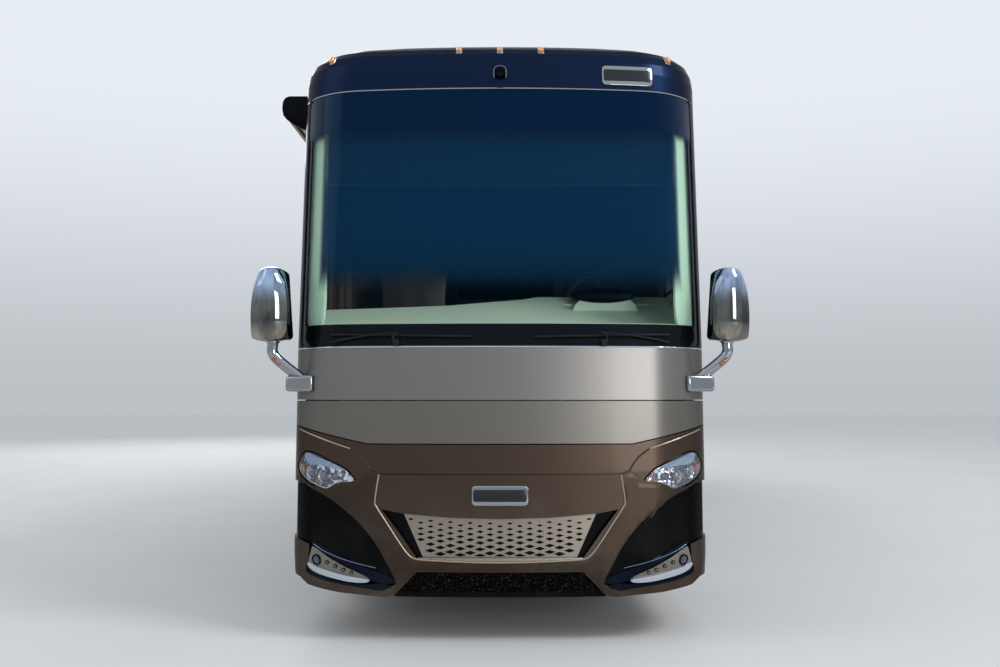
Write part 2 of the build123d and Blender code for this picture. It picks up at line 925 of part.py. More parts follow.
with BuildPart() as tie_rod:
    with Locations((0, arm_pin_y, rod_z)):
        Cylinder(rod_radius, 2 * arm_pin_x, rotation=(0, 90, 0))
    with Locations((arm_pin_x, arm_pin_y, rod_z), (-arm_pin_x, arm_pin_y, rod_z)):
        Cylinder(ball_radius, 2 * ball_radius)
        Cylinder(arm_pin_radius + seat_gap, 3 * ball_radius, mode=Mode.SUBTRACT)
export(tie_rod, "tie_rod")

# Engine and gearbox masses with pulleys, manifolds and sump, mounts on the rails and the tail pipe
pulley_rows = ((0, 760, 115, 60), (0, 960, 70, 50), (-200, 1010, 60, 50), (215, 880, 80, 90))
belt_groove = 8
manifold_rows = (-345, 345)
manifold_middle = (5690, 1000)
manifold_size = (42, 900)
crankcase = ((-340, 340), (5150, 6230), (620, 1290))
gearbox = ((-220, 220), (4450, 5150), (700, 1110))
mount_rows = ((5300, 5420), (5960, 6080))
mount_z = (1120, 1200)
silencer = ((-560, -330), (5500, 5640), (640, 760))
sump = ((-230, 230), (5250, 6130), (560, 621))
tail_pipe_y = (5500, 6660)
tail_pipe_middle = (-500, 640)
tail_pipe_radii = (52, 46)
tail_pipe_bore = 160
with BuildPart() as engine:
    for mass in (crankcase, gearbox, silencer, sump):
        block(*mass)
    for mount_y in mount_rows:
        block((-rail_x[0] + bond_gap, rail_x[0] - bond_gap), mount_y, mount_z)
    for x, z, radius, reach in pulley_rows:
        with Locations((x, crankcase[1][1] - 1 + reach / 2, z)):
            Cylinder(radius, reach, rotation=(90, 0, 0))
            Cylinder(radius - belt_groove, belt_groove, rotation=(90, 0, 0))
    for x in manifold_rows:
        with Locations((x, *manifold_middle)):
            Cylinder(*manifold_size, rotation=(90, 0, 0))
    with BuildSketch(Plane.XZ.offset(-tail_pipe_y[0])):
        with Locations(tail_pipe_middle):
            Circle(tail_pipe_radii[0])
    extrude(amount=tail_pipe_y[0] - tail_pipe_y[1])
    with BuildSketch(Plane.XZ.offset(tail_pipe_bore - tail_pipe_y[1])):
        with Locations(tail_pipe_middle):
            Circle(tail_pipe_radii[1])
    extrude(amount=-tail_pipe_bore - cut_over, mode=Mode.SUBTRACT)
export(engine, "engine")

# Basement: tray and bulkheads of the pass-through bays
bay_rows = ((-3340, -1640), (-1560, 140), (220, 1920))
bulkhead_rows = (-3400, -1610, 170, 2020)
bulkhead_thickness = 20
tray_z = (385, 405)
tray_half = 1240
post_face = half_width - skirt_thickness
with BuildPart() as basement:
    block((-tray_half, tray_half), (bulkhead_rows[0], bulkhead_rows[-1] + bulkhead_thickness), tray_z)
    for y in bulkhead_rows:
        block(
            (-post_face + bond_gap, post_face - bond_gap),
            (y, y + bulkhead_thickness),
            (tray_z[0], rail_bottom - bond_gap),
        )
export(basement, "basement")

# Floor with the entry stairwell
door_y = (-6010, -5330)
door_z = (500, 2850)
step_y = (door_y[0] + 80, door_y[1] - 80)
step_z = (318, 348)
step_guide_x = (-1236, -700)
guide_sheet = 8
stair_inner = -560
stair_sheet = 20
tread_rows = ((-1236, -960, 620), (-960, -760, 855), (-760, stair_inner, 1090))
tread_rise = 235
floor_half = half_width - wall_thickness - bond_gap
floor_nose_half = 1000
floor_nose_y = (-6600, -6200)
stair_z = (600, 620)
rail_lip = 15
with BuildPart() as floor:
    block((-floor_half, floor_half), (floor_nose_y[1], rear_joint + 200), (floor_bottom, floor_top))
    block((-floor_nose_half, floor_nose_half), floor_nose_y, (floor_bottom, floor_top))
    block(
        (-floor_half, stair_inner),
        (door_y[0] - stair_sheet, door_y[1] + stair_sheet),
        (stair_z[0], floor_bottom),
    )
    block(
        (-floor_half - cut_over, stair_inner - stair_sheet),
        door_y,
        (stair_z[1], floor_top + cut_over),
        mode=Mode.SUBTRACT,
    )
    for low_x, high_x, height in tread_rows:
        block((low_x, high_x), door_y, (height - stair_sheet, height))
        block((high_x - stair_sheet, high_x), door_y, (height - stair_sheet, height + tread_rise))
    for y, inward in ((step_y[0], 1), (step_y[1], -1)):
        web = sorted((y - inward * (seat_gap + guide_sheet), y - inward * seat_gap))
        lip = sorted((y - inward * (seat_gap + guide_sheet), y + inward * rail_lip))
        block(step_guide_x, web, (step_z[0] - seat_gap - guide_sheet, stair_z[0] + 1))
        block(step_guide_x, lip, (step_z[0] - seat_gap - guide_sheet, step_z[0] - seat_gap))
        block(step_guide_x, lip, (step_z[1] + seat_gap, step_z[1] + seat_gap + guide_sheet))
export(floor, "floor")

# Side walls, roof and rear cap
driver_slide_y = (-4250, 4750)
curb_slide_y = (-3900, -250)
slide_z = (1360, 3240)
driver_windows = ((-5960, -4900, 1960, 2860), (5150, 5800, 2150, 2800))
curb_windows = (
    (-5160, -4360, 1960, 2860),
    (300, 1500, 2050, 2800),
    (2250, 3250, 2050, 2800),
    (4300, 5300, 2050, 2800),
)
window_lap = 18
window_rounding = 60
pin_radius = 3
pin_inset = 5
pin_from_edge = 13
pin_length = 30
wall_rows = (
    (1, "driver_wall", driver_windows, driver_slide_y),
    (-1, "curb_wall", curb_windows, curb_slide_y),
)


def side_plate(side, thickness):
    """The low and high x of a plate whose outer face is the vehicle's side."""
    return (half_width - thickness, half_width) if side > 0 else (-half_width, -half_width + thickness)


def side_pane(side, low, high, y, z, rounding, mode=Mode.ADD):
    """A rounded rectangle in the side view, from low to high outwards of the middle line."""
    plane = Plane(origin=(side * low, 0, 0), x_dir=(0, 1, 0), z_dir=(side, 0, 0))
    with BuildSketch(plane) as pane:
        with Locations(((y[0] + y[1]) / 2, side * (z[0] + z[1]) / 2)):
            RectangleRounded(y[1] - y[0], z[1] - z[0], rounding)
    extrude(pane.sketch, amount=high - low, mode=mode)


for side, name, windows, slide_y in wall_rows:
    with BuildPart() as wall:
        block(
            side_plate(side, wall_thickness),
            (cap_joint + bond_gap, rear_joint - bond_gap),
            (skirt_top, wall_top),
        )
        wide = side_plate(side, wall_thickness + cut_over)
        wide = (wide[0], wide[1] + cut_over) if side > 0 else (wide[0] - cut_over, wide[1])
        block(
            wide,
            (cap_joint - 1, brow_joint + bond_gap),
            (brow_underside - bond_gap, wall_top + 1),
            mode=Mode.SUBTRACT,
        )
        block(wide, slide_y, slide_z, mode=Mode.SUBTRACT)
        if side < 0:
            block(wide, door_y, (skirt_top - 1, door_z[1]), mode=Mode.SUBTRACT)
            pin_middle = door_z[1] - pin_length / 2 + 1
            with Locations((pin_inset - half_width, door_y[0] + pin_from_edge, pin_middle)):
                Cylinder(pin_radius, pin_length + 2)
        for low_y, high_y, low_z, high_z in windows:
            side_pane(
                side,
                half_width - wall_thickness - cut_over,
                half_width + cut_over,
                (low_y, high_y),
                (low_z, high_z),
                window_rounding,
                mode=Mode.SUBTRACT,
            )
    export(wall, name)

roof_outer = [(half_width, wall_top + bond_gap)]
roof_inner = [(half_width - wall_thickness, wall_top + bond_gap)]
for drop, narrowing in roof_rows:
    roof_outer.append((half_width - narrowing, roof_peak - drop))
    roof_inner.append((half_width - narrowing - wall_thickness, roof_peak - drop - wall_thickness))
with BuildPart() as roof:
    with BuildSketch(Plane.XZ.offset(-brow_joint - bond_gap)):
        with BuildLine():
            Polyline(*roof_outer, *[(-x, z) for x, z in reversed(roof_outer)], close=True)
        make_face()
        with BuildLine():
            Polyline(*roof_inner, *[(-x, z) for x, z in reversed(roof_inner)], close=True)
        make_face(mode=Mode.SUBTRACT)
    extrude(amount=-(rear_joint - brow_joint - 2 * bond_gap))
export(roof, "roof")


def tail_solid(low, high, inset, joint_y):
    """The tail between two heights, forwards to joint_y."""
    return end_solid(tail_rows, low, high, inset, rear_y, -1, rear_bow, joint_y)


def tail_shell(low, high, outer, inner):
    """A skin that follows the tail, between two depths below its surface."""
    skin = tail_solid(low, high, outer, rear_joint)
    core = tail_solid(low - cut_over, high + cut_over, inner, rear_joint - cut_over)
    with BuildPart() as shell:
        add(skin)
        add(core, mode=Mode.SUBTRACT)
    return shell.part


def rear_prism(points, rounding=0):
    """A closed outline in the rear view, carried forwards through the tail."""
    with BuildPart() as prism:
        with BuildSketch(Plane.XZ.offset(-rear_y - cut_over)):
            with BuildLine():
                Polyline(*points, close=True)
            make_face()
            if rounding:
                fillet(vertices(), rounding)
        extrude(amount=rear_cap_depth + cut_over)
    return prism.part


rear_bottom = 520
hatch_half = 900
hatch_z = (600, 1650)
hatch_top_gap = 12
hatch_axis = (rear_y - 30, hatch_z[1] - hatch_top_gap - 10)
hatch_lugs = (-220, 220)
hatch_lug_half = 10
hatch_lug_reach = (9, 6)
hatch_lug_slot = (40, 30, 16)
hatch_pin_radius = 3
hatch_rounding = 30
hatch_cut = rear_prism(
    [
        (-hatch_half, hatch_z[0]),
        (hatch_half, hatch_z[0]),
        (hatch_half, hatch_z[1]),
        (-hatch_half, hatch_z[1]),
    ],
    hatch_rounding,
)
hatch_leaf = rear_prism(
    [
        (-hatch_half + shut_gap, hatch_z[0] + shut_gap),
        (hatch_half - shut_gap, hatch_z[0] + shut_gap),
        (hatch_half - shut_gap, hatch_z[1] - hatch_top_gap),
        (-hatch_half + shut_gap, hatch_z[1] - hatch_top_gap),
    ],
    hatch_rounding,
)
tail_outer = tail_solid(rear_bottom, roof_peak, 0, rear_joint)
tail_inner = end_solid(
    lowered(tail_rows, cap_thickness),
    rear_bottom - cut_over,
    roof_peak - cap_thickness,
    cap_thickness,
    rear_y,
    -1,
    rear_bow,
    rear_joint - cut_over,
)
with BuildPart() as rear_cap:
    add(tail_outer)
    add(tail_inner, mode=Mode.SUBTRACT)
    add(hatch_cut, mode=Mode.SUBTRACT)
    for x in hatch_lugs:
        block(
            (x - hatch_lug_half, x + hatch_lug_half),
            (hatch_axis[0] - hatch_lug_reach[0], hatch_axis[0] + hatch_lug_reach[1]),
            (hatch_axis[1] - hatch_lug_reach[1], hatch_z[1] + 4),
        )
        with Locations((x, hatch_axis[0], hatch_axis[1])):
            Cylinder(hatch_pin_radius, 6 * hatch_lug_half, rotation=(0, 90, 0))
export(rear_cap, "rear_cap")
hatch_skin = tail_shell(hatch_z[0] - cut_over, hatch_z[1] + cut_over, 0, cap_thickness - 5)
louvre_rows = 11
louvre_pitch = 42
louvre_size = (1240, 20)
louvre_low = 992
louvre_depth = 12
with BuildPart() as louvres:
    with BuildSketch(Plane.XZ.offset(-rear_y - cut_over)):
        with Locations((0, louvre_low + louvre_pitch * (louvre_rows - 1) / 2)):
            with GridLocations(0, louvre_pitch, 1, louvre_rows):
                Rectangle(*louvre_size)
    extrude(amount=rear_cap_depth)
    louvre_skin = tail_shell(louvre_low - cut_over, louvre_low + louvre_pitch * louvre_rows, -1, louvre_depth)
    add(louvre_skin, mode=Mode.INTERSECT)
with BuildPart() as engine_door:
    add(hatch_skin)
    add(hatch_leaf, mode=Mode.INTERSECT)
    add(louvres.part, mode=Mode.SUBTRACT)
    for x in hatch_lugs:
        block(
            (x - hatch_lug_half - 2, x + hatch_lug_half + 2),
            (hatch_axis[0] - hatch_lug_slot[0], hatch_axis[0] + hatch_lug_slot[1]),
            (hatch_axis[1] - hatch_lug_slot[2], hatch_z[1]),
            mode=Mode.SUBTRACT,
        )
        with Locations((x, hatch_axis[0], hatch_axis[1])):
            Cylinder(hatch_pin_radius + seat_gap, 8 * hatch_lug_half, rotation=(0, 90, 0), mode=Mode.SUBTRACT)
export(engine_door, "engine_door")

# Side glass, bonded over the wall openings
glass_gap = 0.3
pane_thickness = 5
with BuildPart() as side_glass:
    for side, name, windows, slide_y in wall_rows:
        for low_y, high_y, low_z, high_z in windows:
            side_pane(
                side,
                half_width + glass_gap,
                half_width + glass_gap + pane_thickness,
                (low_y - window_lap, high_y + window_lap),
                (low_z - window_lap, high_z + window_lap),
                window_rounding + window_lap,
            )
export(side_glass, "side_glass")

# Skirts with wheel arches and bay openings
arch_radius = 600
flare_width = 26
flare_proud = 9
bay_z = (400, 1140)
skirt_y = (cap_joint + shut_gap, rear_joint - bond_gap)
with BuildPart() as skirts:
    for side in (1, -1):
        wide = side_plate(side, skirt_thickness + cut_over)
        wide = (wide[0], wide[1] + cut_over) if side > 0 else (wide[0] - cut_over, wide[1])
        block(side_plate(side, skirt_thickness), skirt_y, (skirt_bottom, skirt_top - bond_gap))
        for axle_y in (front_axle_y, drive_axle_y, tag_axle_y):
            with Locations((side * half_width, axle_y, hub_height)):
                Cylinder(arch_radius + flare_width, 2 * flare_proud, rotation=(0, 90, 0))
            block(
                (side * half_width - flare_proud, side * half_width + flare_proud),
                (axle_y - arch_radius - flare_width, axle_y + arch_radius + flare_width),
                (skirt_bottom, hub_height),
            )
        for axle_y in (front_axle_y, drive_axle_y, tag_axle_y):
            with Locations((side * half_width, axle_y, hub_height)):
                Cylinder(arch_radius, 4 * cut_over, rotation=(0, 90, 0), mode=Mode.SUBTRACT)
            block(
                (side * half_width - flare_proud - cut_over, side * half_width + flare_proud + cut_over),
                (axle_y - arch_radius - 2 * flare_width, axle_y + arch_radius + 2 * flare_width),
                (hub_height - arch_radius - 2 * flare_width, skirt_bottom),
                mode=Mode.SUBTRACT,
            )
            block(
                wide,
                (axle_y - arch_radius, axle_y + arch_radius),
                (skirt_bottom - 1, hub_height),
                mode=Mode.SUBTRACT,
            )
        for low_y, high_y in bay_rows:
            block(wide, (low_y, high_y), bay_z, mode=Mode.SUBTRACT)
            for low_z in (bay_z[0] - 2, bay_z[1] - pin_length):
                with Locations(
                    (side * (half_width - pin_inset), low_y + pin_from_edge, low_z + pin_length / 2 + 1)
                ):
                    Cylinder(pin_radius, pin_length + 2)
        if side < 0:
            block(wide, door_y, (door_z[0], skirt_top + 1), mode=Mode.SUBTRACT)
            pin_middle = door_z[0] + pin_length / 2 - 1
            with Locations((pin_inset - half_width, door_y[0] + pin_from_edge, pin_middle)):
                Cylinder(pin_radius, pin_length + 2)
        with BuildSketch(Plane(origin=(0, 0, 0), x_dir=(0, 1, 0), z_dir=(1, 0, 0))):
            with BuildLine():
                Polyline(
                    (tag_axle_y + arch_radius, skirt_bottom - 1),
                    (rear_joint + 1, skirt_bottom - 1),
                    (rear_joint + 1, rear_bottom),
                    close=True,
                )
            make_face()
        extrude(amount=half_width + cut_over, both=True, mode=Mode.SUBTRACT)
export(skirts, "skirts")

# Bay doors: a skin on a frame with a middle post, hinged on upright pins at their front edges
door_skin = 5
door_frame = 45
for side, hand in ((1, "driver"), (-1, "curb")):
    for number, (low_y, high_y) in enumerate(bay_rows, 1):
        with BuildPart() as bay_door:
            block(
                side_plate(side, skirt_thickness),
                (low_y + shut_gap, high_y - shut_gap),
                (bay_z[0] + shut_gap, bay_z[1] - shut_gap),
            )
            post_y = (low_y + high_y) / 2
            pan_x = (half_width - skirt_thickness - 1, half_width - door_skin)
            for pan_y in (
                (low_y + shut_gap + door_frame, post_y - door_frame / 2),
                (post_y + door_frame / 2, high_y - shut_gap - door_frame),
            ):
                block(
                    pan_x if side > 0 else both(pan_x),
                    pan_y,
                    (bay_z[0] + shut_gap + door_frame, bay_z[1] - shut_gap - door_frame),
                    mode=Mode.SUBTRACT,
                )
            for low_z in (bay_z[0], bay_z[1] - pin_length - 8):
                with Locations(
                    (side * (half_width - pin_inset), low_y + pin_from_edge, low_z + pin_length / 2 + 4)
                ):
                    Cylinder(pin_radius + seat_gap, pin_length + 8, mode=Mode.SUBTRACT)
        export(bay_door, f"bay_door_{hand}_{number}")

# Entry door with its window
entry_thickness = 35
entry_window_y = (door_y[0] + 120, door_y[1] - 110)
entry_window_z = (1650, 2740)
entry_pans = ((door_z[0] + 60, 1040), (1090, entry_window_z[0] - 60))
with BuildPart() as entry_door:
    block(
        (-half_width, -half_width + entry_thickness),
        (door_y[0] + shut_gap, door_y[1] - shut_gap),
        (door_z[0] + shut_gap, door_z[1] - shut_gap),
    )
    side_pane(
        -1,
        half_width - wall_thickness - cut_over,
        half_width + cut_over,
        entry_window_y,
        entry_window_z,
        window_rounding,
        mode=Mode.SUBTRACT,
    )
    for pan_z in entry_pans:
        block(
            (-half_width + door_skin, -half_width + entry_thickness + 1),
            (door_y[0] + shut_gap + door_frame, door_y[1] - shut_gap - door_frame),
            pan_z,
            mode=Mode.SUBTRACT,
        )
    for low_z in (door_z[0], door_z[1] - pin_length - 8):
        with Locations((-half_width + pin_inset, door_y[0] + pin_from_edge, low_z + pin_length / 2 + 4)):
            Cylinder(pin_radius + seat_gap, pin_length + 8, mode=Mode.SUBTRACT)
export(entry_door, "entry_door")
with BuildPart() as entry_glass:
    side_pane(
        -1,
        half_width + glass_gap,
        half_width + glass_gap + pane_thickness,
        (entry_window_y[0] - window_lap, entry_window_y[1] + window_lap),
        (entry_window_z[0] - window_lap, entry_window_z[1] + window_lap),
        window_rounding + window_lap,
    )
export(entry_glass, "entry_door_glass")

# Slide-out entry step under the door
tread_grooves = 8
groove_pitch = 40
groove_depth = 2
step_x = (-1230, -800)
with BuildPart() as entry_step:
    block(step_x, step_y, step_z)
    for number in range(tread_grooves):
        low_x = step_x[0] + 30 + number * groove_pitch
        block(
            (low_x, low_x + groove_pitch / 3),
            (step_y[0] + groove_pitch, step_y[1] - groove_pitch),
            (step_z[1] - groove_depth, step_z[1] + 1),
            mode=Mode.SUBTRACT,
        )
export(entry_step, "entry_step")

# Slide-out rooms: box, outer fascia and windows
slide_depth = 760
slide_wall = 40
slide_side_gap = 10
fascia_x = (half_width + 5, half_width + 23)
fascia_lap = 32
driver_slide_windows = ((-3700, -2300, 2050, 2850), (-700, 700, 2050, 2850), (2800, 4000, 2150, 2850))
curb_slide_windows = ((-3400, -2200, 2050, 2850), (-1700, -700, 2050, 2850))
slide_rows = (
    (1, "driver", driver_slide_y, driver_slide_windows),
    (-1, "curb", curb_slide_y, curb_slide_windows),
)
for side, hand, slide_y, windows in slide_rows:
    box_y = (slide_y[0] + slide_side_gap, slide_y[1] - slide_side_gap)
    box_z = (slide_z[0] + seat_gap, slide_z[1] - slide_side_gap)
    span = (half_width - slide_depth, fascia_x[0] + 1)
    hollow = (half_width - slide_depth - 10, half_width - slide_wall)
    lap = fascia_x
    if side < 0:
        span = both(span)
        hollow = both(hollow)
        lap = both(lap)
    with BuildPart() as slide:
        block(span, box_y, box_z)
        block(
            hollow,
            (box_y[0] + slide_wall, box_y[1] - slide_wall),
            (box_z[0] + slide_wall, box_z[1] - slide_wall),
            mode=Mode.SUBTRACT,
        )
        block(
            lap,
            (slide_y[0] - fascia_lap, slide_y[1] + fascia_lap),
            (slide_z[0] - fascia_lap, slide_z[1] + fascia_lap),
        )
        for low_y, high_y, low_z, high_z in windows:
            side_pane(
                side,
                half_width - slide_wall - cut_over,
                fascia_x[1] + cut_over,
                (low_y, high_y),
                (low_z, high_z),
                window_rounding,
                mode=Mode.SUBTRACT,
            )
    export(slide, f"{hand}_slide")
    with BuildPart() as slide_glass:
        for low_y, high_y, low_z, high_z in windows:
            side_pane(
                side,
                fascia_x[1] + glass_gap,
                fascia_x[1] + glass_gap + pane_thickness,
                (low_y - window_lap, high_y + window_lap),
                (low_z - window_lap, high_z + window_lap),
                window_rounding + window_lap,
            )
    export(slide_glass, f"{hand}_slide_glass")

# Generator on its slide, which carries the mask
shoe_x = (376, 429)
shoe_z = (1040, 1090)
shoe_y = (-6480, -5480)
mask_mount_skin = nose_solid(880, 1100, mask_thickness + bond_gap, cap_joint)
mask_mount_half = 420
mask_mount_back = -6300
mask_mount_z = (900, 960)
generator_box = ((-360, 360), (-6400, -5750), (540, 1010))
link_inner = 330
with BuildPart() as mask_mount:
    add(mask_mount_skin)
    block(
        (-mask_mount_half, mask_mount_half),
        (front_y, mask_mount_back),
        mask_mount_z,
        mode=Mode.INTERSECT,
    )
with BuildPart() as generator:
    block(*generator_box)
    add(mask_mount.part)
    for side in (1, -1):
        shoe = shoe_x if side > 0 else both(shoe_x)
        flange = guide_flange_x if side > 0 else both(guide_flange_x)
        web = guide_x if side > 0 else both(guide_x)
        block(shoe, shoe_y, shoe_z)
        block(
            (flange[0] - seat_gap, flange[1] + seat_gap),
            (shoe_y[0] - 1, shoe_y[1] + 1),
            (guide_z[0] - seat_gap, guide_z[1] + seat_gap),
            mode=Mode.SUBTRACT,
        )
        block(
            (web[0] - seat_gap, web[1] + seat_gap),
            (shoe_y[0] - 1, shoe_y[1] + 1),
            (guide_z[1], shoe_z[1] + 1),
            mode=Mode.SUBTRACT,
        )
        link = (link_inner, shoe_x[1]) if side > 0 else (-shoe_x[1], -link_inner)
        block(link, generator_box[1], (mask_mount_z[1], shoe_z[0] + 5))
export(generator, "generator")

# Cockpit: dash, steering wheel, seats and the drawn sun shade
dash_half = 1150
dash_edge = [(1150, -5780), (420, -5800), (150, -5900), (-350, -6000), (-900, -6050), (-1150, -6070)]
dash_profile = (
    (front_y, 1720),
    (-5900, 1720),
    (-5800, 2060),
    (-5860, 2120),
    (-6500, 1800),
    (front_y, 1740),
)
dash_z = (1600, 2400)
dash_stand = ((-1000, 1000), (-6560, -6200), (floor_top + bond_gap, 1730))
binnacle = ((430, 1000), (-6000, -5700), (1850, 2060))
driver_x = 700
hood_y = (-6080, -5880)
hood_z = 2000
hood_radii = (215, 125)
column_foot = (driver_x, -5750, 1960)
column_size = (40, 256.1)
wheel_lean = (0, 1, 0.75)
dash_skin = nose_solid(1700, 2170, 60, cap_joint + 400)
with BuildPart() as dash_core:
    add(dash_skin)
    with BuildSketch(Plane.YZ):
        with BuildLine():
            Polyline(*dash_profile, close=True)
        make_face()
    extrude(amount=dash_half, both=True, mode=Mode.INTERSECT)
    with BuildSketch(Plane.XY.offset(dash_z[0])):
        with BuildLine():
            Polyline(*dash_edge, (-dash_half, front_y), (dash_half, front_y), close=True)
        make_face()
    extrude(amount=dash_z[1] - dash_z[0], mode=Mode.INTERSECT)
with BuildPart() as dashboard:
    add(dash_core.part)
    block(*dash_stand)
    block(*binnacle)
    with BuildSketch(Plane.XZ.offset(-hood_y[1])):
        with Locations((driver_x, hood_z)):
            Ellipse(*hood_radii)
            Rectangle(
                3 * hood_radii[0],
                3 * hood_radii[1],
                align=(Align.CENTER, Align.MAX),
                mode=Mode.SUBTRACT,
            )
    extrude(amount=hood_y[1] - hood_y[0])
    with BuildSketch(Plane(origin=column_foot, z_dir=wheel_lean)):
        Circle(column_size[0])
    extrude(amount=column_size[1])
export(dashboard, "dashboard")
wheel_tilt = Plane(origin=(driver_x, -5545, 2114), z_dir=wheel_lean)
wheel_ring = (218, 12)
wheel_boss = 60
wheel_spoke = (30, 40)
wheel_core = 16
with BuildPart() as wheel_flat:
    with BuildSketch(Plane.XZ):
        with Locations(wheel_ring):
            Circle(wheel_ring[1])
    revolve(axis=Axis.Z)
    with BuildSketch():
        Circle(wheel_boss)
        Rectangle(2 * wheel_ring[0], wheel_spoke[0])
        with Locations((0, -wheel_ring[0] / 2)):
            Rectangle(wheel_spoke[1], wheel_ring[0])
    extrude(amount=wheel_core)
with BuildPart() as steering_wheel:
    add(wheel_flat.part.moved(wheel_tilt.location))
export(steering_wheel, "steering_wheel")
seat_rows = (
    (150, (-4950, -4550), (floor_top + bond_gap, 1700)),
    (290, (-5100, -4520), (1690, 1850)),
    (280, (-4600, -4440), (1800, 2560)),
)
with BuildPart() as seats:
    for x in (-driver_x, driver_x):
        for half, seat_y, seat_z in seat_rows:
            block((x - half, x + half), seat_y, seat_z)
export(seats, "front_seats")
shade_header = ((-1250, 1250), (-6357, -6297), (glass_top - 60, glass_top - seat_gap))
shade_blind = ((-1110, 1110), (-6335, -6320), (2800, 3300))
shade_seat = nose_solid(3200, 3400, cap_thickness + seat_gap, cap_joint)
with BuildPart() as sun_shade:
    block(*shade_header)
    add(shade_seat, mode=Mode.INTERSECT)
    block(*shade_blind)
export(sun_shade, "sun_shade")

# Mirrors: tapered heads with recessed panes, on bent arms from faceted corner brackets
mirror_middle = (1377.5, -6582)
mirror_rows = (
    (1760, 216, 150),
    (1784, 254, 198),
    (1880, 262, 216),
    (2000, 255, 212),
    (2110, 236, 190),
    (2180, 206, 156),
    (2204, 170, 118),
)
mirror_rounding = 48
pane_rows = ((2050, 170, 200), (1850, 190, 100))
pane_recess = 14
arm_line = ((1377.5, -6582, 1790), (1377.5, -6582, 1690), (1228, -6562, 1545))
arm_bend = 60
arm_radius = 24
bracket_middle = (1222, -6560, 1518)
bracket_box = (176, 180, 100)
bracket_facet = 16
bracket_body = nose_solid(1440, 1600, -seat_gap, cap_joint)
with BuildPart() as bracket:
    with Locations(bracket_middle):
        Box(*bracket_box)
    chamfer(bracket.edges(), bracket_facet)
with BuildPart() as mirror_one:
    for height, width, depth in mirror_rows:
        with BuildSketch(Plane.XY.offset(height)):
            with Locations(mirror_middle):
                RectangleRounded(width, depth, mirror_rounding)
    loft()
    back_y = mirror_middle[1] + mirror_rows[2][2] / 2
    for height, width, tall in pane_rows:
        with BuildSketch(Plane.XZ.offset(-back_y + pane_recess)) as pane:
            with Locations((mirror_middle[0], height)):
                RectangleRounded(width, tall, 20)
        extrude(amount=-cut_over, mode=Mode.SUBTRACT)
    with BuildLine():
        FilletPolyline(*arm_line, radius=arm_bend)
    with BuildSketch(Plane(origin=arm_line[0], z_dir=(0, 0, -1))):
        Circle(arm_radius)
    sweep()
    add(bracket.part)
    add(bracket_body, mode=Mode.SUBTRACT)
with BuildPart() as mirrors:
    add(mirror_one.part)
    add(mirror(mirror_one.part, about=Plane.YZ))
export(mirrors, "mirrors")

# Lights: five on the brow, tail clusters behind
brow_lamp_rows = ((0, 3614), (-258, 3614), (258, 3614), (-1096, 3590), (1096, 3590))
brow_lamp_y = front_y + 390
brow_lamp_size = (70, 120, 22)
with BuildPart() as clearance_lamps:
    for x, z in brow_lamp_rows:
        with Locations((x, brow_lamp_y, z)):
            Box(*brow_lamp_size)
    add(outer_cap, mode=Mode.SUBTRACT)
export(clearance_lamps, "clearance_lamps")
lamp_x = (980, 1110)
lamp_z = (1200, 2000)
lamp_module_rows = ((1222, 1400), (1418, 1560), (1578, 1700), (1718, 1978))
lamp_module_inset = 12
module_proud = 12
with BuildPart() as lamp_modules:
    add(tail_shell(lamp_z[0] - cut_over, lamp_z[1] + cut_over, -module_proud, -2))
    with BuildSketch(Plane.XZ.offset(-rear_y - cut_over)):
        for side in (1, -1):
            for low_z, high_z in lamp_module_rows:
                with Locations((side * (lamp_x[0] + lamp_x[1]) / 2, (low_z + high_z) / 2)):
                    RectangleRounded(lamp_x[1] - lamp_x[0] - 2 * lamp_module_inset, high_z - low_z, 20)
    extrude(amount=rear_cap_depth, mode=Mode.INTERSECT)
with BuildPart() as tail_lamps:
    add(tail_shell(lamp_z[0] - cut_over, lamp_z[1] + cut_over, -4, -seat_gap))
    with BuildSketch(Plane.XZ.offset(-rear_y - cut_over)):
        for side in (1, -1):
            with Locations((side * (lamp_x[0] + lamp_x[1]) / 2, (lamp_z[0] + lamp_z[1]) / 2)):
                RectangleRounded(lamp_x[1] - lamp_x[0], lamp_z[1] - lamp_z[0], 30)
    extrude(amount=rear_cap_depth, mode=Mode.INTERSECT)
    add(lamp_modules.part)
export(tail_lamps, "tail_lamps")

# Roof units, awning, wipers and hitch receiver
roof_unit_rows = (-2600, 700, 4200)
roof_unit_size = (720, 1050, 220)
roof_unit_taper = 10
roof_unit_rounding = 28
with BuildPart() as roof_units:
    for y in roof_unit_rows:
        with BuildSketch(Plane.XY.offset(roof_peak + bond_gap)):
            with Locations((0, y)):
                RectangleRounded(roof_unit_size[0], roof_unit_size[1], 90)
        extrude(amount=roof_unit_size[2], taper=roof_unit_taper)
    lids = roof_units.faces().sort_by(Axis.Z)[-len(roof_unit_rows):]
    fillet(lids.edges(), roof_unit_rounding)
export(roof_units, "roof_units")
awning_y = (-5845, -300)
awning_section = (
    (-half_width - glass_gap, 3296),
    (-half_width - glass_gap, 3520),
    (-1465, 3520),
    (-1509, 3474),
    (-1500, 3388),
    (-1334, 3296),
)
awning_rounding = 26
with BuildPart() as awning:
    with BuildSketch(Plane.XZ.offset(-awning_y[1])):
        with BuildLine():
            Polyline(*awning_section, close=True)
        make_face()
        fillet(vertices().sort_by(Axis.X)[:3], awning_rounding)
    extrude(amount=awning_y[1] - awning_y[0])
export(awning, "awning")
wiper_blades = ((-1000, -120), (120, 1000))
wiper_blade_z = (1775, 1800)
wiper_pivot = (620, 1764, 20)
wiper_arm = ((610, 1770), (632, 1764), (760, 1802), (752, 1812))
wiper_skin = nose_shell(1700, 1900, -26, 1 - seat_gap, cap_joint)
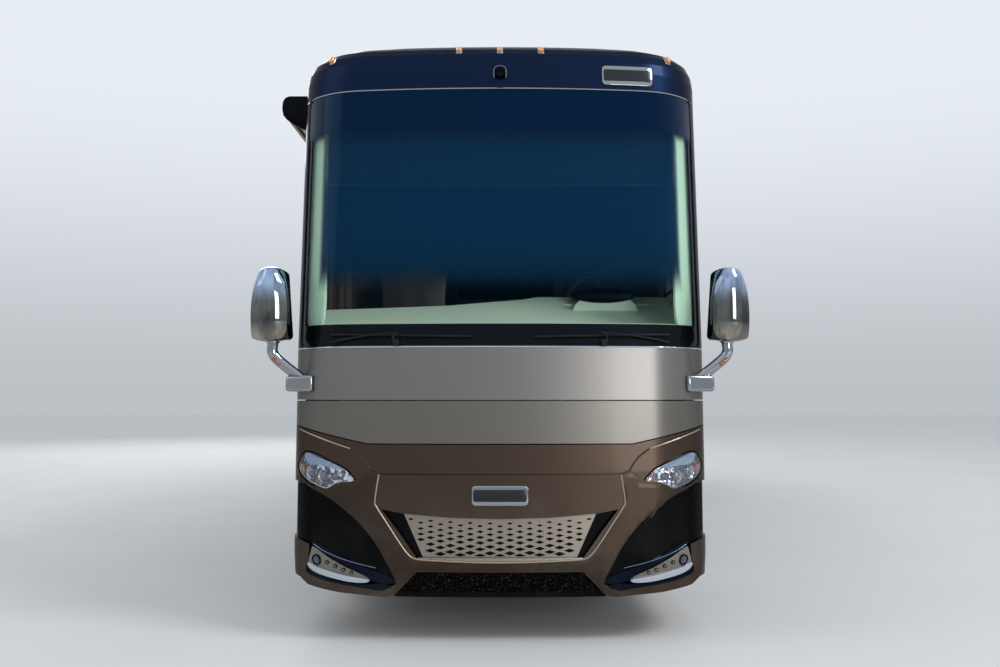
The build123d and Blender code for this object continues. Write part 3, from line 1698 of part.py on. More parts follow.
with BuildPart() as wipers:
    add(wiper_skin)
    with BuildSketch(Plane.XZ.offset(-front_y + cut_over)):
        for low_x, high_x in wiper_blades:
            with Locations(((low_x + high_x) / 2, sum(wiper_blade_z) / 2)):
                Rectangle(high_x - low_x, wiper_blade_z[1] - wiper_blade_z[0])
        for side in (1, -1):
            with Locations((side * wiper_pivot[0], wiper_pivot[1])):
                Circle(wiper_pivot[2])
            with BuildLine():
                Polyline(*[(side * x, z) for x, z in wiper_arm], close=True)
            make_face()
    extrude(amount=-cap_depth, mode=Mode.INTERSECT)
export(wipers, "wipers")
receiver_outer = 63.5
receiver_inner = 50.8
receiver_z = 440
receiver_y = (6270, 6830)
socket_y = (6500, 6900)
hitch_bar = (860, 80, 80)
hitch_bar_y = 6420
hitch_plate = 14
hitch_pin_radius = 8.2
with BuildPart() as hitch_receiver:
    with Locations((0, sum(receiver_y) / 2, receiver_z)):
        Box(receiver_outer, receiver_y[1] - receiver_y[0], receiver_outer)
    with Locations((0, hitch_bar_y, receiver_z)):
        Box(*hitch_bar)
    for side in (1, -1):
        plate = (rail_x[0], rail_x[0] + hitch_plate)
        block(
            plate if side > 0 else both(plate),
            (hitch_bar_y - 220, hitch_bar_y + 40),
            (receiver_z - hitch_bar[2] / 2, rail_bottom - bond_gap),
        )
    with Locations((0, sum(socket_y) / 2, receiver_z)):
        Box(receiver_inner, socket_y[1] - socket_y[0], receiver_inner, mode=Mode.SUBTRACT)
        Cylinder(hitch_pin_radius, 200, rotation=(0, 90, 0), mode=Mode.SUBTRACT)
export(hitch_receiver, "hitch_receiver")
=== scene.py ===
"""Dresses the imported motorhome: paint and glass on its panels, tyres, lamps, trim, cockpit and stage.

Metres, in the model's own frame: the nose faces -Y, +X is the driver's side and +Z is up.
"""

import json
import math

import bmesh
import bpy
from bpy.props import FloatProperty, FloatVectorProperty, IntProperty, PointerProperty
from mathutils import Matrix, Vector


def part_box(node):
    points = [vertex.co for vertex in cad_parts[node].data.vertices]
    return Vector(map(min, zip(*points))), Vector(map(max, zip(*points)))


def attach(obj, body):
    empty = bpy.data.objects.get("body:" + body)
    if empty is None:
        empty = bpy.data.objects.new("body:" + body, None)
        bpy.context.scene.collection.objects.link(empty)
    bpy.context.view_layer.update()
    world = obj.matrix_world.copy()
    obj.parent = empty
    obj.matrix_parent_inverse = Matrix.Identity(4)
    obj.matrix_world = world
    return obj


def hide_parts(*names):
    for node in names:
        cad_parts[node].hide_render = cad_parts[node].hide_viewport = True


bl_info = {
    "name": "Motorhome Dressing",
    "version": (1, 0, 0),
    "blender": (4, 5, 0),
    "location": "View3D > Sidebar > Motorhome",
    "description": "Finishes, tyres, lamps, trim, cockpit and stage for the packed motorhome",
    "category": "Object",
}

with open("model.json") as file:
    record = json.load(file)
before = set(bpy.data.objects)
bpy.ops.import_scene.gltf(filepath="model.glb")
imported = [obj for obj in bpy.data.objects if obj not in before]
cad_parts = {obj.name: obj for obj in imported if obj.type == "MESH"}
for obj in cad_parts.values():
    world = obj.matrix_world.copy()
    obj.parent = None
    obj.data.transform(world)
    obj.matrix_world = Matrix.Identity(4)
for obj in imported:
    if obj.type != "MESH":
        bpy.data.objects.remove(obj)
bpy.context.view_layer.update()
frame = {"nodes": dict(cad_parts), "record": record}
NODES = frame["nodes"]
HANDS = ((1, "driver"), (-1, "curb"))
HALF_LENGTH = 6.845
HALF_WIDTH = 1.289
AXLES = {"front": -4.645, "drive": 2.745, "tag": 4.015}
WHEEL_HEIGHT = 0.525

# How near to each other points are merged, and how near to its axis a turned profile ends
MERGE = 1e-5
AXIS_POINT = 0.0005

# The moulded ends: height, setback behind the tip, narrowing of the half width, corner radius
NOSE_BOW = 6.5
NOSE_ROWS = (
    (0.1, 0.096, 0.0, 0.46),
    (0.48, 0.0, 0.0, 0.46),
    (1.0, 0.01, 0.0, 0.46),
    (1.418, 0.03, 0.0, 0.46),
    (1.74, 0.045, 0.0, 0.46),
    (3.349, 0.25, 0.0, 0.46),
    (3.47, 0.262, 0.0, 0.46),
    (3.54, 0.28, 0.009, 0.451),
    (3.595, 0.308, 0.034, 0.428),
    (3.635, 0.346, 0.084, 0.4),
    (3.66, 0.39, 0.159, 0.377),
    (3.682, 0.44, 0.387, 0.331),
    (3.7, 0.58, 1.07, 0.166),
)
TAIL_BOW = 12.0
TAIL_ROWS = (
    (0.36, 0.06, 0.0, 0.23),
    (0.62, 0.0, 0.0, 0.23),
    (3.2, 0.05, 0.0, 0.23),
    (3.47, 0.09, 0.0, 0.23),
    (3.54, 0.105, 0.009, 0.225),
    (3.595, 0.13, 0.034, 0.214),
    (3.635, 0.165, 0.084, 0.2),
    (3.66, 0.21, 0.159, 0.189),
    (3.682, 0.26, 0.387, 0.179),
    (3.7, 0.38, 1.07, 0.115),
)

FINISHES = {}
SHARED_GROUPS = {}


# Modelling helpers

def deselect():
    """Leaves object mode with nothing selected and nothing active."""
    if bpy.context.mode != "OBJECT":
        bpy.ops.object.mode_set(mode="OBJECT")
    bpy.ops.object.select_all(action="DESELECT")
    bpy.context.view_layer.objects.active = None


def activate(piece):
    """Selects one object alone and makes it active."""
    deselect()
    piece.select_set(True)
    bpy.context.view_layer.objects.active = piece


def added(name):
    """The primitive that was just added, under its own name."""
    piece = bpy.context.view_layer.objects.active
    piece.name = name
    piece.data.name = name
    return piece


def place(piece):
    """Puts the object's place, turn and scale into its mesh."""
    activate(piece)
    bpy.ops.object.transform_apply(location=True, rotation=True, scale=True)
    return piece


def bake_modifiers(piece):
    """Applies every modifier, in order."""
    activate(piece)
    for modifier in list(piece.modifiers):
        bpy.ops.object.modifier_apply(modifier=modifier.name)
    return piece


def edited(piece, *steps):
    """Runs mesh operators, each with its settings, on the whole of a piece."""
    activate(piece)
    bpy.ops.object.mode_set(mode="EDIT")
    for operator, settings in steps:
        bpy.ops.mesh.select_all(action="SELECT")
        operator(**settings)
    bpy.ops.object.mode_set(mode="OBJECT")
    return piece


def smooth(piece, degrees=32):
    """Smooth shading with sharp edges kept past an angle."""
    activate(piece)
    bpy.ops.object.shade_smooth_by_angle(angle=math.radians(degrees))
    return piece


def outward(piece):
    """Merges doubled points and turns all the faces outwards."""
    return edited(
        piece,
        (bpy.ops.mesh.remove_doubles, {"threshold": MERGE}),
        (bpy.ops.mesh.normals_make_consistent, {"inside": False}),
    )


def rounded(piece, width, segments=2, angle=30):
    """Rounds the edges that are sharper than an angle."""
    bevel = piece.modifiers.new("round", "BEVEL")
    bevel.width = width
    bevel.segments = segments
    bevel.limit_method = "ANGLE"
    bevel.angle_limit = math.radians(angle)
    return bake_modifiers(piece)


def domed(piece):
    """Turns a coarse form into a smooth one by subdivision."""
    dome = piece.modifiers.new("round", "SUBSURF")
    dome.levels = dome.render_levels = 2
    return bake_modifiers(piece)


def subdivided(piece, cuts):
    """Divides every face, so that the piece can be given a form."""
    return edited(piece, (bpy.ops.mesh.subdivide, {"number_cuts": cuts}))


def thickened(piece, thickness, offset=-1):
    """Gives a sheet its thickness, behind its face unless told otherwise."""
    solid = piece.modifiers.new("wall", "SOLIDIFY")
    solid.thickness = thickness
    solid.offset = offset
    return bake_modifiers(piece)


def bored(piece, cutters):
    """Cuts several pieces out of another."""
    cutter = join("cutter", cutters)
    cut = piece.modifiers.new("cut", "BOOLEAN")
    cut.operation = "DIFFERENCE"
    cut.solver = "EXACT"
    cut.object = cutter
    bake_modifiers(piece)
    bpy.data.objects.remove(cutter)
    return piece


def brick(name, low, high, edge=0.0, segments=2):
    """A block between two corners, with rounded edges."""
    deselect()
    centre = [(a + b) / 2 for a, b in zip(low, high)]
    bpy.ops.mesh.primitive_cube_add(size=1, location=centre)
    piece = added(name)
    piece.scale = [b - a for a, b in zip(low, high)]
    place(piece)
    if edge:
        rounded(piece, edge, segments)
    return smooth(piece)


def drum(name, centre, radius, depth, axis="Z", edge=0.0, vertices=32, segments=2):
    """A round bar along an axis, with rounded rims."""
    turn = {"X": (0, math.pi / 2, 0), "Y": (math.pi / 2, 0, 0), "Z": (0, 0, 0)}[axis]
    deselect()
    bpy.ops.mesh.primitive_cylinder_add(
        vertices=vertices, radius=radius, depth=depth, location=centre, rotation=turn
    )
    piece = place(added(name))
    if edge:
        rounded(piece, edge, segments, 50)
    return smooth(piece)


def polygon(name, points):
    """One flat face between points."""
    deselect()
    bpy.ops.mesh.primitive_circle_add(vertices=len(points), radius=1, fill_type="NGON")
    piece = added(name)
    for vertex, point in zip(piece.data.vertices, points):
        vertex.co = point
    piece.data.update()
    return piece


def outline_plate(name, points, thickness, edge=0.0, segments=2):
    """A plate from a closed outline of points in space, thickened along its own normal."""
    piece = outward(thickened(polygon(name, points), thickness))
    if edge:
        rounded(piece, edge, segments)
    return smooth(piece)


def lathe(name, profile, centre, axis="X", steps=48):
    """A turned piece from points of distance along the axis and radius."""
    deselect()
    bpy.ops.mesh.primitive_circle_add(vertices=len(profile), radius=1)
    piece = added(name)
    along, across = {
        "X": ((1, 0, 0), (0, 0, 1)), "Y": ((0, 1, 0), (0, 0, 1)), "Z": ((0, 0, 1), (1, 0, 0))
    }[axis]
    for vertex, (distance, radius) in zip(piece.data.vertices, profile):
        vertex.co = Vector(centre) + Vector(along) * distance + Vector(across) * radius
    turn = {"steps": steps, "angle": 2 * math.pi, "center": centre, "axis": along}
    return smooth(outward(edited(piece, (bpy.ops.mesh.spin, turn))))


def tube(name, points, radius, closed=False, resolution=5, sides=8, order=3):
    """A round bar along a smooth line through space, capped or closed into a ring."""
    deselect()
    bpy.ops.curve.primitive_nurbs_path_add()
    piece = added(name)
    curve = piece.data
    curve.splines.clear()
    spline = curve.splines.new("NURBS")
    spline.points.add(len(points) - 1)
    for point, spot in zip(spline.points, points):
        point.co = (*spot, 1)
    spline.use_endpoint_u = not closed
    spline.use_cyclic_u = closed
    spline.order_u = min(order, len(points))
    spline.resolution_u = resolution
    curve.dimensions = "3D"
    curve.bevel_depth = radius
    curve.bevel_resolution = max(0, sides // 4 - 1)
    curve.use_fill_caps = not closed
    activate(piece)
    bpy.ops.object.convert(target="MESH")
    return smooth(outward(place(added(name))), 50)


def curved(points, steps=4, closed=True):
    """A smooth line through points, for outlines."""
    count = len(points)
    made = []
    for i in range(count if closed else count - 1):
        near = [(i + k) % count if closed else min(max(i + k, 0), count - 1) for k in (-1, 0, 1, 2)]
        a, b, c, d = (Vector(points[index]) for index in near)
        for step in range(steps):
            t = step / steps
            square = (2 * a - 5 * b + 4 * c - d) * t**2
            cube = (3 * b - a - 3 * c + d) * t**3
            made.append(tuple(0.5 * (2 * b + (c - a) * t + square + cube)))
    return made if closed else made + [tuple(points[-1])]


def along(points, step=0.03):
    """Extra points on the straight runs of an open line, so that it can follow a curve."""
    made = [points[0]]
    for (x1, z1), (x2, z2) in zip(points, points[1:]):
        parts = max(1, round(math.hypot(x2 - x1, z2 - z1) / step))
        made += [(x1 + (x2 - x1) * t / parts, z1 + (z2 - z1) * t / parts) for t in range(1, parts + 1)]
    return made


def curved_box(low_x, high_x, low_z, high_z, corner, turns=(0, 30, 60, 90)):
    """The outline of a rounded rectangle."""
    points = []
    for x, z, start in ((high_x, high_z, 0), (low_x, high_z, 90), (low_x, low_z, 180), (high_x, low_z, 270)):
        centre_x = x - corner if x == high_x else x + corner
        centre_z = z - corner if z == high_z else z + corner
        for turn in turns:
            angle = math.radians(start + turn)
            points.append((centre_x + corner * math.cos(angle), centre_z + corner * math.sin(angle)))
    return points


def sided(outline, side=-1):
    """A driver's side outline on either side, which is the curb side unless told otherwise."""
    return [(side * x, z) for x, z in outline]


def whole(half):
    """A closed outline from its driver's half, which starts and ends on the middle line."""
    return half + sided(half[-2:0:-1])


def slices(piece, axis, step):
    """Cuts a mesh into strips, so that it can follow a curve."""
    places = [vertex.co[axis] for vertex in piece.data.vertices]
    unit = Vector([float(index == axis) for index in range(3)])
    cuts = []
    spot = math.floor(min(places) / step) * step + step
    while spot < max(places) - MERGE:
        cuts.append((bpy.ops.mesh.bisect, {"plane_co": unit * spot, "plane_no": unit}))
        spot += step
    return edited(piece, *cuts)


def moulded_y(x, z, rows, bow):
    """How far forward a moulded end reaches at a place in its front view, with its tip at -HALF_LENGTH."""
    for low, high in zip(rows, rows[1:]):
        if z <= high[0]:
            break
    share = min(max((z - low[0]) / (high[0] - low[0]), 0), 1)
    setback, narrowing, corner = (a + share * (b - a) for a, b in zip(low[1:], high[1:]))
    half = HALF_WIDTH - narrowing
    centre = setback - HALF_LENGTH + bow
    side = min(abs(x), half)
    if side <= bow * (half - corner) / (bow - corner):
        return centre - math.sqrt(bow**2 - side**2)
    reach = math.sqrt((bow - corner) ** 2 - (half - corner) ** 2)
    return centre - reach - math.sqrt(max(corner**2 - (side - half + corner) ** 2, 0))


def nose_y(x, z):
    """How far forward the nose reaches at a place in the front view."""
    return moulded_y(x, z, NOSE_ROWS, NOSE_BOW)


def tail_y(x, z):
    """How far back the tail reaches at a place in the rear view."""
    return -moulded_y(x, z, TAIL_ROWS, TAIL_BOW)


def set_on_nose(piece, x, z, proud=0.0):
    """Moves a piece built round the origin, facing forwards, onto the nose and turns it flat."""
    step = 0.004
    lean_x = (nose_y(x + step, z) - nose_y(x - step, z)) / (2 * step)
    lean_z = (nose_y(x, z + step) - nose_y(x, z - step)) / (2 * step)
    out = Vector((lean_x, -1, lean_z)).normalized()
    piece.rotation_euler = out.to_track_quat("-Y", "Z").to_euler()
    piece.location = Vector((x, nose_y(x, z), z)) + out * proud
    return place(piece)


def surface_plate(name, outline, surface, out, proud, thickness, edge, segments, step):
    """A plate that follows a moulded end: its outer face lies outside the skin by proud."""
    piece = polygon(name, [(x, 0, z) for x, z in outline])
    if piece.data.polygons[0].normal.y * out < 0:
        edited(piece, (bpy.ops.mesh.flip_normals, {}))
    slices(piece, 0, step)
    slices(piece, 2, 2 * step)
    for vertex in piece.data.vertices:
        vertex.co.y = surface(vertex.co.x, vertex.co.z) + out * proud
    thickened(piece, thickness)
    if edge:
        rounded(piece, edge, segments, 40)
    return smooth(piece, 40)


def nose_plate(name, outline, proud, thickness, edge=0.0, segments=2, step=0.03):
    """A plate on the nose."""
    return surface_plate(name, outline, nose_y, -1, proud, thickness, edge, segments, step)


def tail_plate(name, outline, proud, thickness, edge=0.0):
    """A plate on the tail."""
    return surface_plate(name, outline, tail_y, 1, proud, thickness, edge, 2, 0.05)


def nose_tube(name, outline, radius, proud=0.0, closed=False):
    """A bead that runs along the nose."""
    return tube(name, [(x, nose_y(x, z) - proud, z) for x, z in outline], radius, closed)


def join(name, pieces):
    """Makes one piece of several."""
    deselect()
    for piece in pieces:
        piece.select_set(True)
    bpy.context.view_layer.objects.active = pieces[0]
    if len(pieces) > 1:
        bpy.ops.object.join()
    return added(name)


def twin(piece, name):
    """A copy with its own mesh."""
    activate(piece)
    bpy.ops.object.duplicate(linked=False)
    return added(name)


def mirrored(piece):
    """Turns a piece over to the other side of the middle line."""
    piece.scale.x = -1
    return outward(place(piece))


def moved(piece, spot, turn=(0, 0, 0)):
    """Puts a piece built round the origin in its place."""
    piece.rotation_euler = turn
    piece.location = spot
    return place(piece)


def dress(piece, finish, body):
    """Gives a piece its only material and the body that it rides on."""
    piece.data.materials.clear()
    piece.data.materials.append(FINISHES[finish])
    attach(piece, body)
    return piece


# Shader building

def feed(tree, socket, value):
    """Links a socket to another, or sets its plain value; a colour is given without alpha."""
    if isinstance(value, bpy.types.NodeSocket):
        tree.links.new(value, socket)
    elif socket.type == "RGBA":
        socket.default_value = (*value, 1.0)
    else:
        socket.default_value = value


def fill(tree, sockets, **values):
    """Feeds sockets by name, with underscores for spaces."""
    for name, value in values.items():
        feed(tree, sockets[name.replace("_", " ")], value)


def new_group(name, inputs, outputs):
    """An empty node group with colour and number inputs; returns it and the sockets at its two ends."""
    group = bpy.data.node_groups.new(name, "ShaderNodeTree")
    for label, default in inputs.items():
        kind = "Color" if isinstance(default, tuple) else "Float"
        socket = group.interface.new_socket(name=label, in_out="INPUT", socket_type="NodeSocket" + kind)
        socket.default_value = (*default, 1.0) if kind == "Color" else default
    for label, kind in outputs.items():
        group.interface.new_socket(name=label, in_out="OUTPUT", socket_type="NodeSocket" + kind)
    return group, group.nodes.new("NodeGroupInput").outputs, group.nodes.new("NodeGroupOutput").inputs


def maths(tree, operation, first, second=0.0, third=0.0):
    """One maths node; returns its result."""
    node = tree.nodes.new("ShaderNodeMath")
    node.operation = operation
    for socket, value in zip(node.inputs, (first, second, third)):
        feed(tree, socket, value)
    return node.outputs[0]


def remap(tree, value, low, high, to_low=0.0, to_high=1.0):
    """A value carried from one range to another, eased at both ends, and held past them."""
    node = tree.nodes.new("ShaderNodeMapRange")
    node.interpolation_type = "SMOOTHSTEP"
    fill(tree, node.inputs, Value=value, From_Min=low, From_Max=high, To_Min=to_low, To_Max=to_high)
    return node.outputs[0]


def blend(tree, share, first, second):
    """Two colours mixed by a share."""
    node = tree.nodes.new("ShaderNodeMix")
    node.data_type = "RGBA"
    for index, value in ((0, share), (6, first), (7, second)):
        feed(tree, node.inputs[index], value)
    return node.outputs[2]


def noise(tree, scale, detail=4.0, rough=0.55, stretch=None):
    """Noise on object coordinates; returns its value."""
    node = tree.nodes.new("ShaderNodeTexNoise")
    source = object_point(tree)
    if stretch:
        mapping = tree.nodes.new("ShaderNodeMapping")
        fill(tree, mapping.inputs, Vector=source, Scale=stretch)
        source = mapping.outputs[0]
    fill(tree, node.inputs, Scale=scale, Detail=detail, Roughness=rough, Vector=source)
    return node.outputs[0]


def bumped(tree, height, strength, distance):
    """The normal of a surface that a height roughens."""
    node = tree.nodes.new("ShaderNodeBump")
    fill(tree, node.inputs, Height=height, Strength=strength, Distance=distance)
    return node.outputs[0]


def object_point(tree):
    """Object coordinates."""
    return tree.nodes.new("ShaderNodeTexCoord").outputs["Object"]


def axes_of(tree):
    """The x, y and z of object coordinates."""
    split = tree.nodes.new("ShaderNodeSeparateXYZ")
    tree.links.new(object_point(tree), split.inputs[0])
    return split.outputs


def livery_group():
    """The side livery, whose colours meet along lines that rise towards the tail, and the lining inside."""
    colours = {
        "Navy": (0.0052, 0.0145, 0.042),
        "Pewter": (0.205, 0.195, 0.185),
        "Moss": (0.165, 0.155, 0.14),
        "Bronze": (0.067, 0.047, 0.035),
        "Champagne": (0.33, 0.26, 0.2),
        "Lining": (0.20, 0.17, 0.14),
    }
    group, given, result = new_group("livery", colours, {"Color": "Color", "Inside": "Float"})
    x, y, z = axes_of(group)
    navy_line = remap(group, y, -5.6, 6.2, 1.74, 3.28)
    champagne_line = remap(group, y, -5.6, 6.6, 1.74, 2.46)
    moss_line = remap(group, y, -4.6, 6.8, 1.42, 1.98)
    nose = maths(group, "LESS_THAN", y, -6.07)
    bronze_line = maths(group, "MULTIPLY_ADD", nose, -0.15, remap(group, y, -4.6, 6.8, 1.266, 1.80))
    colour = given["Pewter"]
    for line, name, test in (
        (champagne_line, "Champagne", "GREATER_THAN"),
        (navy_line, "Navy", "GREATER_THAN"),
        (moss_line, "Moss", "LESS_THAN"),
        (bronze_line, "Bronze", "LESS_THAN"),
    ):
        colour = blend(group, maths(group, test, z, line), colour, given[name])
    for line, half in ((navy_line, 0.009), (moss_line, 0.006)):
        away = maths(group, "ABSOLUTE", maths(group, "SUBTRACT", z, line))
        on_line = maths(group, "LESS_THAN", away, half)
        stripe = maths(group, "MULTIPLY", on_line, maths(group, "GREATER_THAN", y, -5.9))
        colour = blend(group, stripe, colour, given["Champagne"])
    inside = maths(group, "LESS_THAN", maths(group, "ABSOLUTE", x), 1.286)
    between = maths(group, "GREATER_THAN", y, -6.06)
    between = maths(group, "MULTIPLY", between, maths(group, "LESS_THAN", y, 6.14))
    inside = maths(group, "MULTIPLY", inside, between)
    inside = maths(group, "MULTIPLY", inside, maths(group, "LESS_THAN", z, 3.44))
    fill(group, result, Color=blend(group, inside, colour, given["Lining"]), Inside=inside)
    return group


def dust_group():
    """Road film that thickens towards the ground, broken up by noise."""
    group, given, result = new_group(
        "road_dust",
        {"Color": (0.5, 0.5, 0.5), "Roughness": 0.3, "Dust": (0.30, 0.27, 0.23), "Top": 1.1, "Amount": 0.3},
        {"Color": "Color", "Roughness": "Float"},
    )
    low = remap(group, axes_of(group)[2], 0.05, given["Top"], 1.0, 0.0)
    patch = remap(group, noise(group, 3.5, 8, 0.65), 0.35, 0.75)
    share = maths(group, "MULTIPLY", maths(group, "MULTIPLY", low, patch), given["Amount"])
    colour = blend(group, share, given["Color"], given["Dust"])
    rough = maths(group, "ADD", given["Roughness"], maths(group, "MULTIPLY", share, 0.5))
    fill(group, result, Color=colour, Roughness=rough)
    return group


def grain_group():
    """Fine grain: a small change of shade and a height for the bump."""
    group, given, result = new_group(
        "grain",
        {"Color": (0.5, 0.5, 0.5), "Scale": 200.0, "Depth": 0.2, "Bump": 0.1},
        {"Color": "Color", "Normal": "Vector"},
    )
    texture = group.nodes.new("ShaderNodeTexNoise")
    fill(group, texture.inputs, Vector=object_point(group), Scale=given["Scale"], Detail=3)
    dark = blend(group, given["Depth"], given["Color"], (0, 0, 0))
    colour = blend(group, remap(group, texture.outputs[0], 0.3, 0.7), dark, given["Color"])
    fill(group, result, Color=colour, Normal=bumped(group, texture.outputs[0], given["Bump"], 0.002))
    return group


def new_material(name):
    """A material with one Principled BSDF; returns it, its tree and the shader's inputs."""
    material = bpy.data.materials.new(name)
    material.use_nodes = True
    tree = material.node_tree
    return material, tree, tree.nodes["Principled BSDF"].inputs


def use_group(tree, name, **values):
    """Places a shared group in a material with its own values."""
    node = tree.nodes.new("ShaderNodeGroup")
    node.node_tree = SHARED_GROUPS[name]
    fill(tree, node.inputs, **values)
    return node.outputs


def paint(name, colour=None, dust=0.25):
    """Clear-coated metallic paint, in one colour or in the side livery."""
    material, tree, shader = new_material(name)
    base, metal, rough = colour, 0.8, 0.34
    if colour is None:
        sides = use_group(tree, "livery")
        base = sides["Color"]
        metal = maths(tree, "MULTIPLY_ADD", sides["Inside"], -0.8, metal)
        rough = maths(tree, "MULTIPLY_ADD", sides["Inside"], 0.28, rough)
    flake = use_group(tree, "grain", Color=base, Scale=900.0, Depth=0.16, Bump=0.0)
    film = use_group(tree, "road_dust", Color=flake["Color"], Roughness=rough, Amount=dust)
    fill(tree, shader, Base_Color=film["Color"], Roughness=film["Roughness"], Metallic=metal)
    fill(tree, shader, Coat_Weight=0.2, Coat_Roughness=0.05, Coat_IOR=1.22)
    fill(tree, shader, Specular_IOR_Level=0.2, Specular_Tint=(0.3, 0.3, 0.3))
    return material


def grained(
    name, colour, roughness, scale=300.0, depth=0.2, bump=0.1, metallic=0.0,
    dust=0.0, coat=0.0, shine=0.5, edge=1.0
):
    """Plastic, rubber, cast or brushed finish with a fine grain and some road film."""
    material, tree, shader = new_material(name)
    grain = use_group(tree, "grain", Color=colour, Scale=scale, Depth=depth, Bump=bump)
    film = use_group(tree, "road_dust", Color=grain["Color"], Roughness=roughness, Amount=dust)
    fill(tree, shader, Base_Color=film["Color"], Roughness=film["Roughness"], Normal=grain["Normal"])
    fill(tree, shader, Metallic=metallic, Coat_Weight=coat)
    fill(tree, shader, Specular_IOR_Level=shine, Specular_Tint=(edge, edge, edge))
    return material


def screen_glass():
    """Windscreen: a blue tint and opacity that paint the reflection of a blue sky over the middle of the
    pane, clearing towards the dash and the pillars, with a shade band above; its gloss is tinted blue as a
    painted sky reflection.
    """
    material, tree, shader = new_material("windscreen_glass")
    x, _, z = axes_of(tree)
    side = maths(tree, "ABSOLUTE", x)
    # Opacity is lowest over the dash and the pillars and highest mid-pane: a painted reflection of a dark
    # blue sky over the middle of the pane.
    field = remap(tree, z, 2.06, 2.28, 0.06, 0.90)
    field = maths(tree, "MINIMUM", field, remap(tree, z, 2.70, 2.82, 0.90, 0.66))
    field = maths(tree, "MINIMUM", field, remap(tree, side, 1.085, 1.125, 0.92, 0.08))
    band = remap(tree, z, 3.04, 3.12, 0.0, 0.98)
    streak = maths(tree, "MULTIPLY", noise(tree, 2.0, 3, 0.5, (1, 1, 0.3)), 0.03)
    alpha = maths(tree, "ADD", maths(tree, "MAXIMUM", field, band), streak)
    # The blue tint over the middle and lower pane is a painted sky reflection; only the top band is the
    # glass's own tint.
    deep = blend(tree, remap(tree, z, 2.0, 2.5), (0.002, 0.012, 0.022), (0.0015, 0.0165, 0.047))
    tint = blend(tree, remap(tree, z, 2.95, 3.12), deep, (0.0008, 0.006, 0.024))
    fill(tree, shader, Base_Color=tint, Alpha=alpha, Roughness=0.02, IOR=1.33)
    # The gloss is tinted blue as a painted sky reflection.
    fill(tree, shader, Specular_IOR_Level=0.4, Specular_Tint=(0.12, 0.55, 1.0))
    return material


def privacy_glass():
    """Dark side glass with a slight waviness."""
    material, tree, shader = new_material("side_privacy_glass")
    wave = remap(tree, noise(tree, 1.5, 2, 0.4), 0.3, 0.7, 0.82, 0.9)
    tint = blend(tree, noise(tree, 0.8, 2), (0.01, 0.014, 0.015), (0.02, 0.026, 0.028))
    fill(tree, shader, Base_Color=tint, Alpha=wave, Roughness=0.03)
    fill(tree, shader, Specular_IOR_Level=0.7, Coat_Weight=0.5, Coat_Roughness=0.01)
    return material


def clear_lens(name, colour, alpha, roughness=0.05, flutes=0.0):
    """A moulded lens, with fine flutes where their scale is given."""
    material, tree, shader = new_material(name)
    tone = blend(tree, noise(tree, 60, 2), colour, [0.75 * part for part in colour])
    if flutes:
        wave = tree.nodes.new("ShaderNodeTexWave")
        fill(tree, wave.inputs, Vector=object_point(tree), Scale=flutes)
        feed(tree, shader["Normal"], bumped(tree, wave.outputs["Fac"], 0.3, 0.002))
    fill(tree, shader, Base_Color=tone, Roughness=roughness, Alpha=alpha)
    fill(tree, shader, Specular_IOR_Level=0.6, Coat_Weight=1.0, Coat_Roughness=0.02)
    return material


def facet_chrome():
    """Reflector cut into facets with painted reflections: mostly night blue, some violet, amber or bright,
    with more of the bright painted highlights inboard.
    """
    material, tree, shader = new_material("faceted_reflector")
    cells = tree.nodes.new("ShaderNodeTexVoronoi")
    fill(tree, cells.inputs, Vector=object_point(tree), Scale=62)
    split = tree.nodes.new("ShaderNodeSeparateColor")
    tree.links.new(cells.outputs["Color"], split.inputs[0])
    red, green, blue = split.outputs
    # The facet colours are painted reflections; the bright facets, more of them inboard, are painted
    # highlights.
    inboard_highlight_share = remap(tree, maths(tree, "ABSOLUTE", axes_of(tree)[0]), 0.96, 1.10, 0.5, 0.14)
    tone = blend(tree, maths(tree, "GREATER_THAN", green, 0.68), (0.012, 0.018, 0.05), (0.10, 0.05, 0.22))
    tone = blend(tree, maths(tree, "GREATER_THAN", blue, 0.78), tone, (0.22, 0.09, 0.04))
    tone = blend(tree, maths(tree, "LESS_THAN", red, inboard_highlight_share), tone, (0.75, 0.8, 0.9))
    normal = bumped(tree, cells.outputs["Distance"], 0.6, 0.008)
    fill(tree, shader, Base_Color=tone, Normal=normal, Metallic=0.85, Roughness=0.16)
    return material


def mirror_shell():
    """Chrome with a painted reflection: its tone runs from sky blue at the top through a dark middle to a
    warm grey at the foot, broken by painted reflection streaks.
    """
    material, tree, shader = new_material("mirror_shell_plating")
    z = axes_of(tree)[2]
    # Painted reflection: warm grey ground at the foot, a dark middle, sky blue at the top.
    tone = blend(tree, remap(tree, z, 1.80, 1.90), (0.34, 0.31, 0.27), (0.15, 0.155, 0.15))
    tone = blend(tree, remap(tree, z, 2.00, 2.16), tone, (0.34, 0.44, 0.62))
    reflection_streaks = remap(tree, noise(tree, 9, 3, 0.6, (1, 1, 0.25)), 0.42, 0.62, 0.55, 1.15)
    mixed = tree.nodes.new("ShaderNodeHueSaturation")
    fill(tree, mixed.inputs, Color=tone, Value=reflection_streaks)
    fill(tree, shader, Base_Color=mixed.outputs[0], Metallic=1.0, Roughness=0.05)
    return material


def speckled():
    """Black plastic with scattered bright flecks."""
    material, tree, shader = new_material("speckled_valance")
    fleck = remap(tree, noise(tree, 160, 1, 0.5), 0.66, 0.74)
    tone = blend(tree, fleck, (0.003, 0.003, 0.0033), (0.14, 0.13, 0.12))
    fill(tree, shader, Base_Color=tone, Metallic=0.7, Roughness=0.4)
    fill(tree, shader, Specular_IOR_Level=0.1, Specular_Tint=(0.1, 0.1, 0.1))
    return material


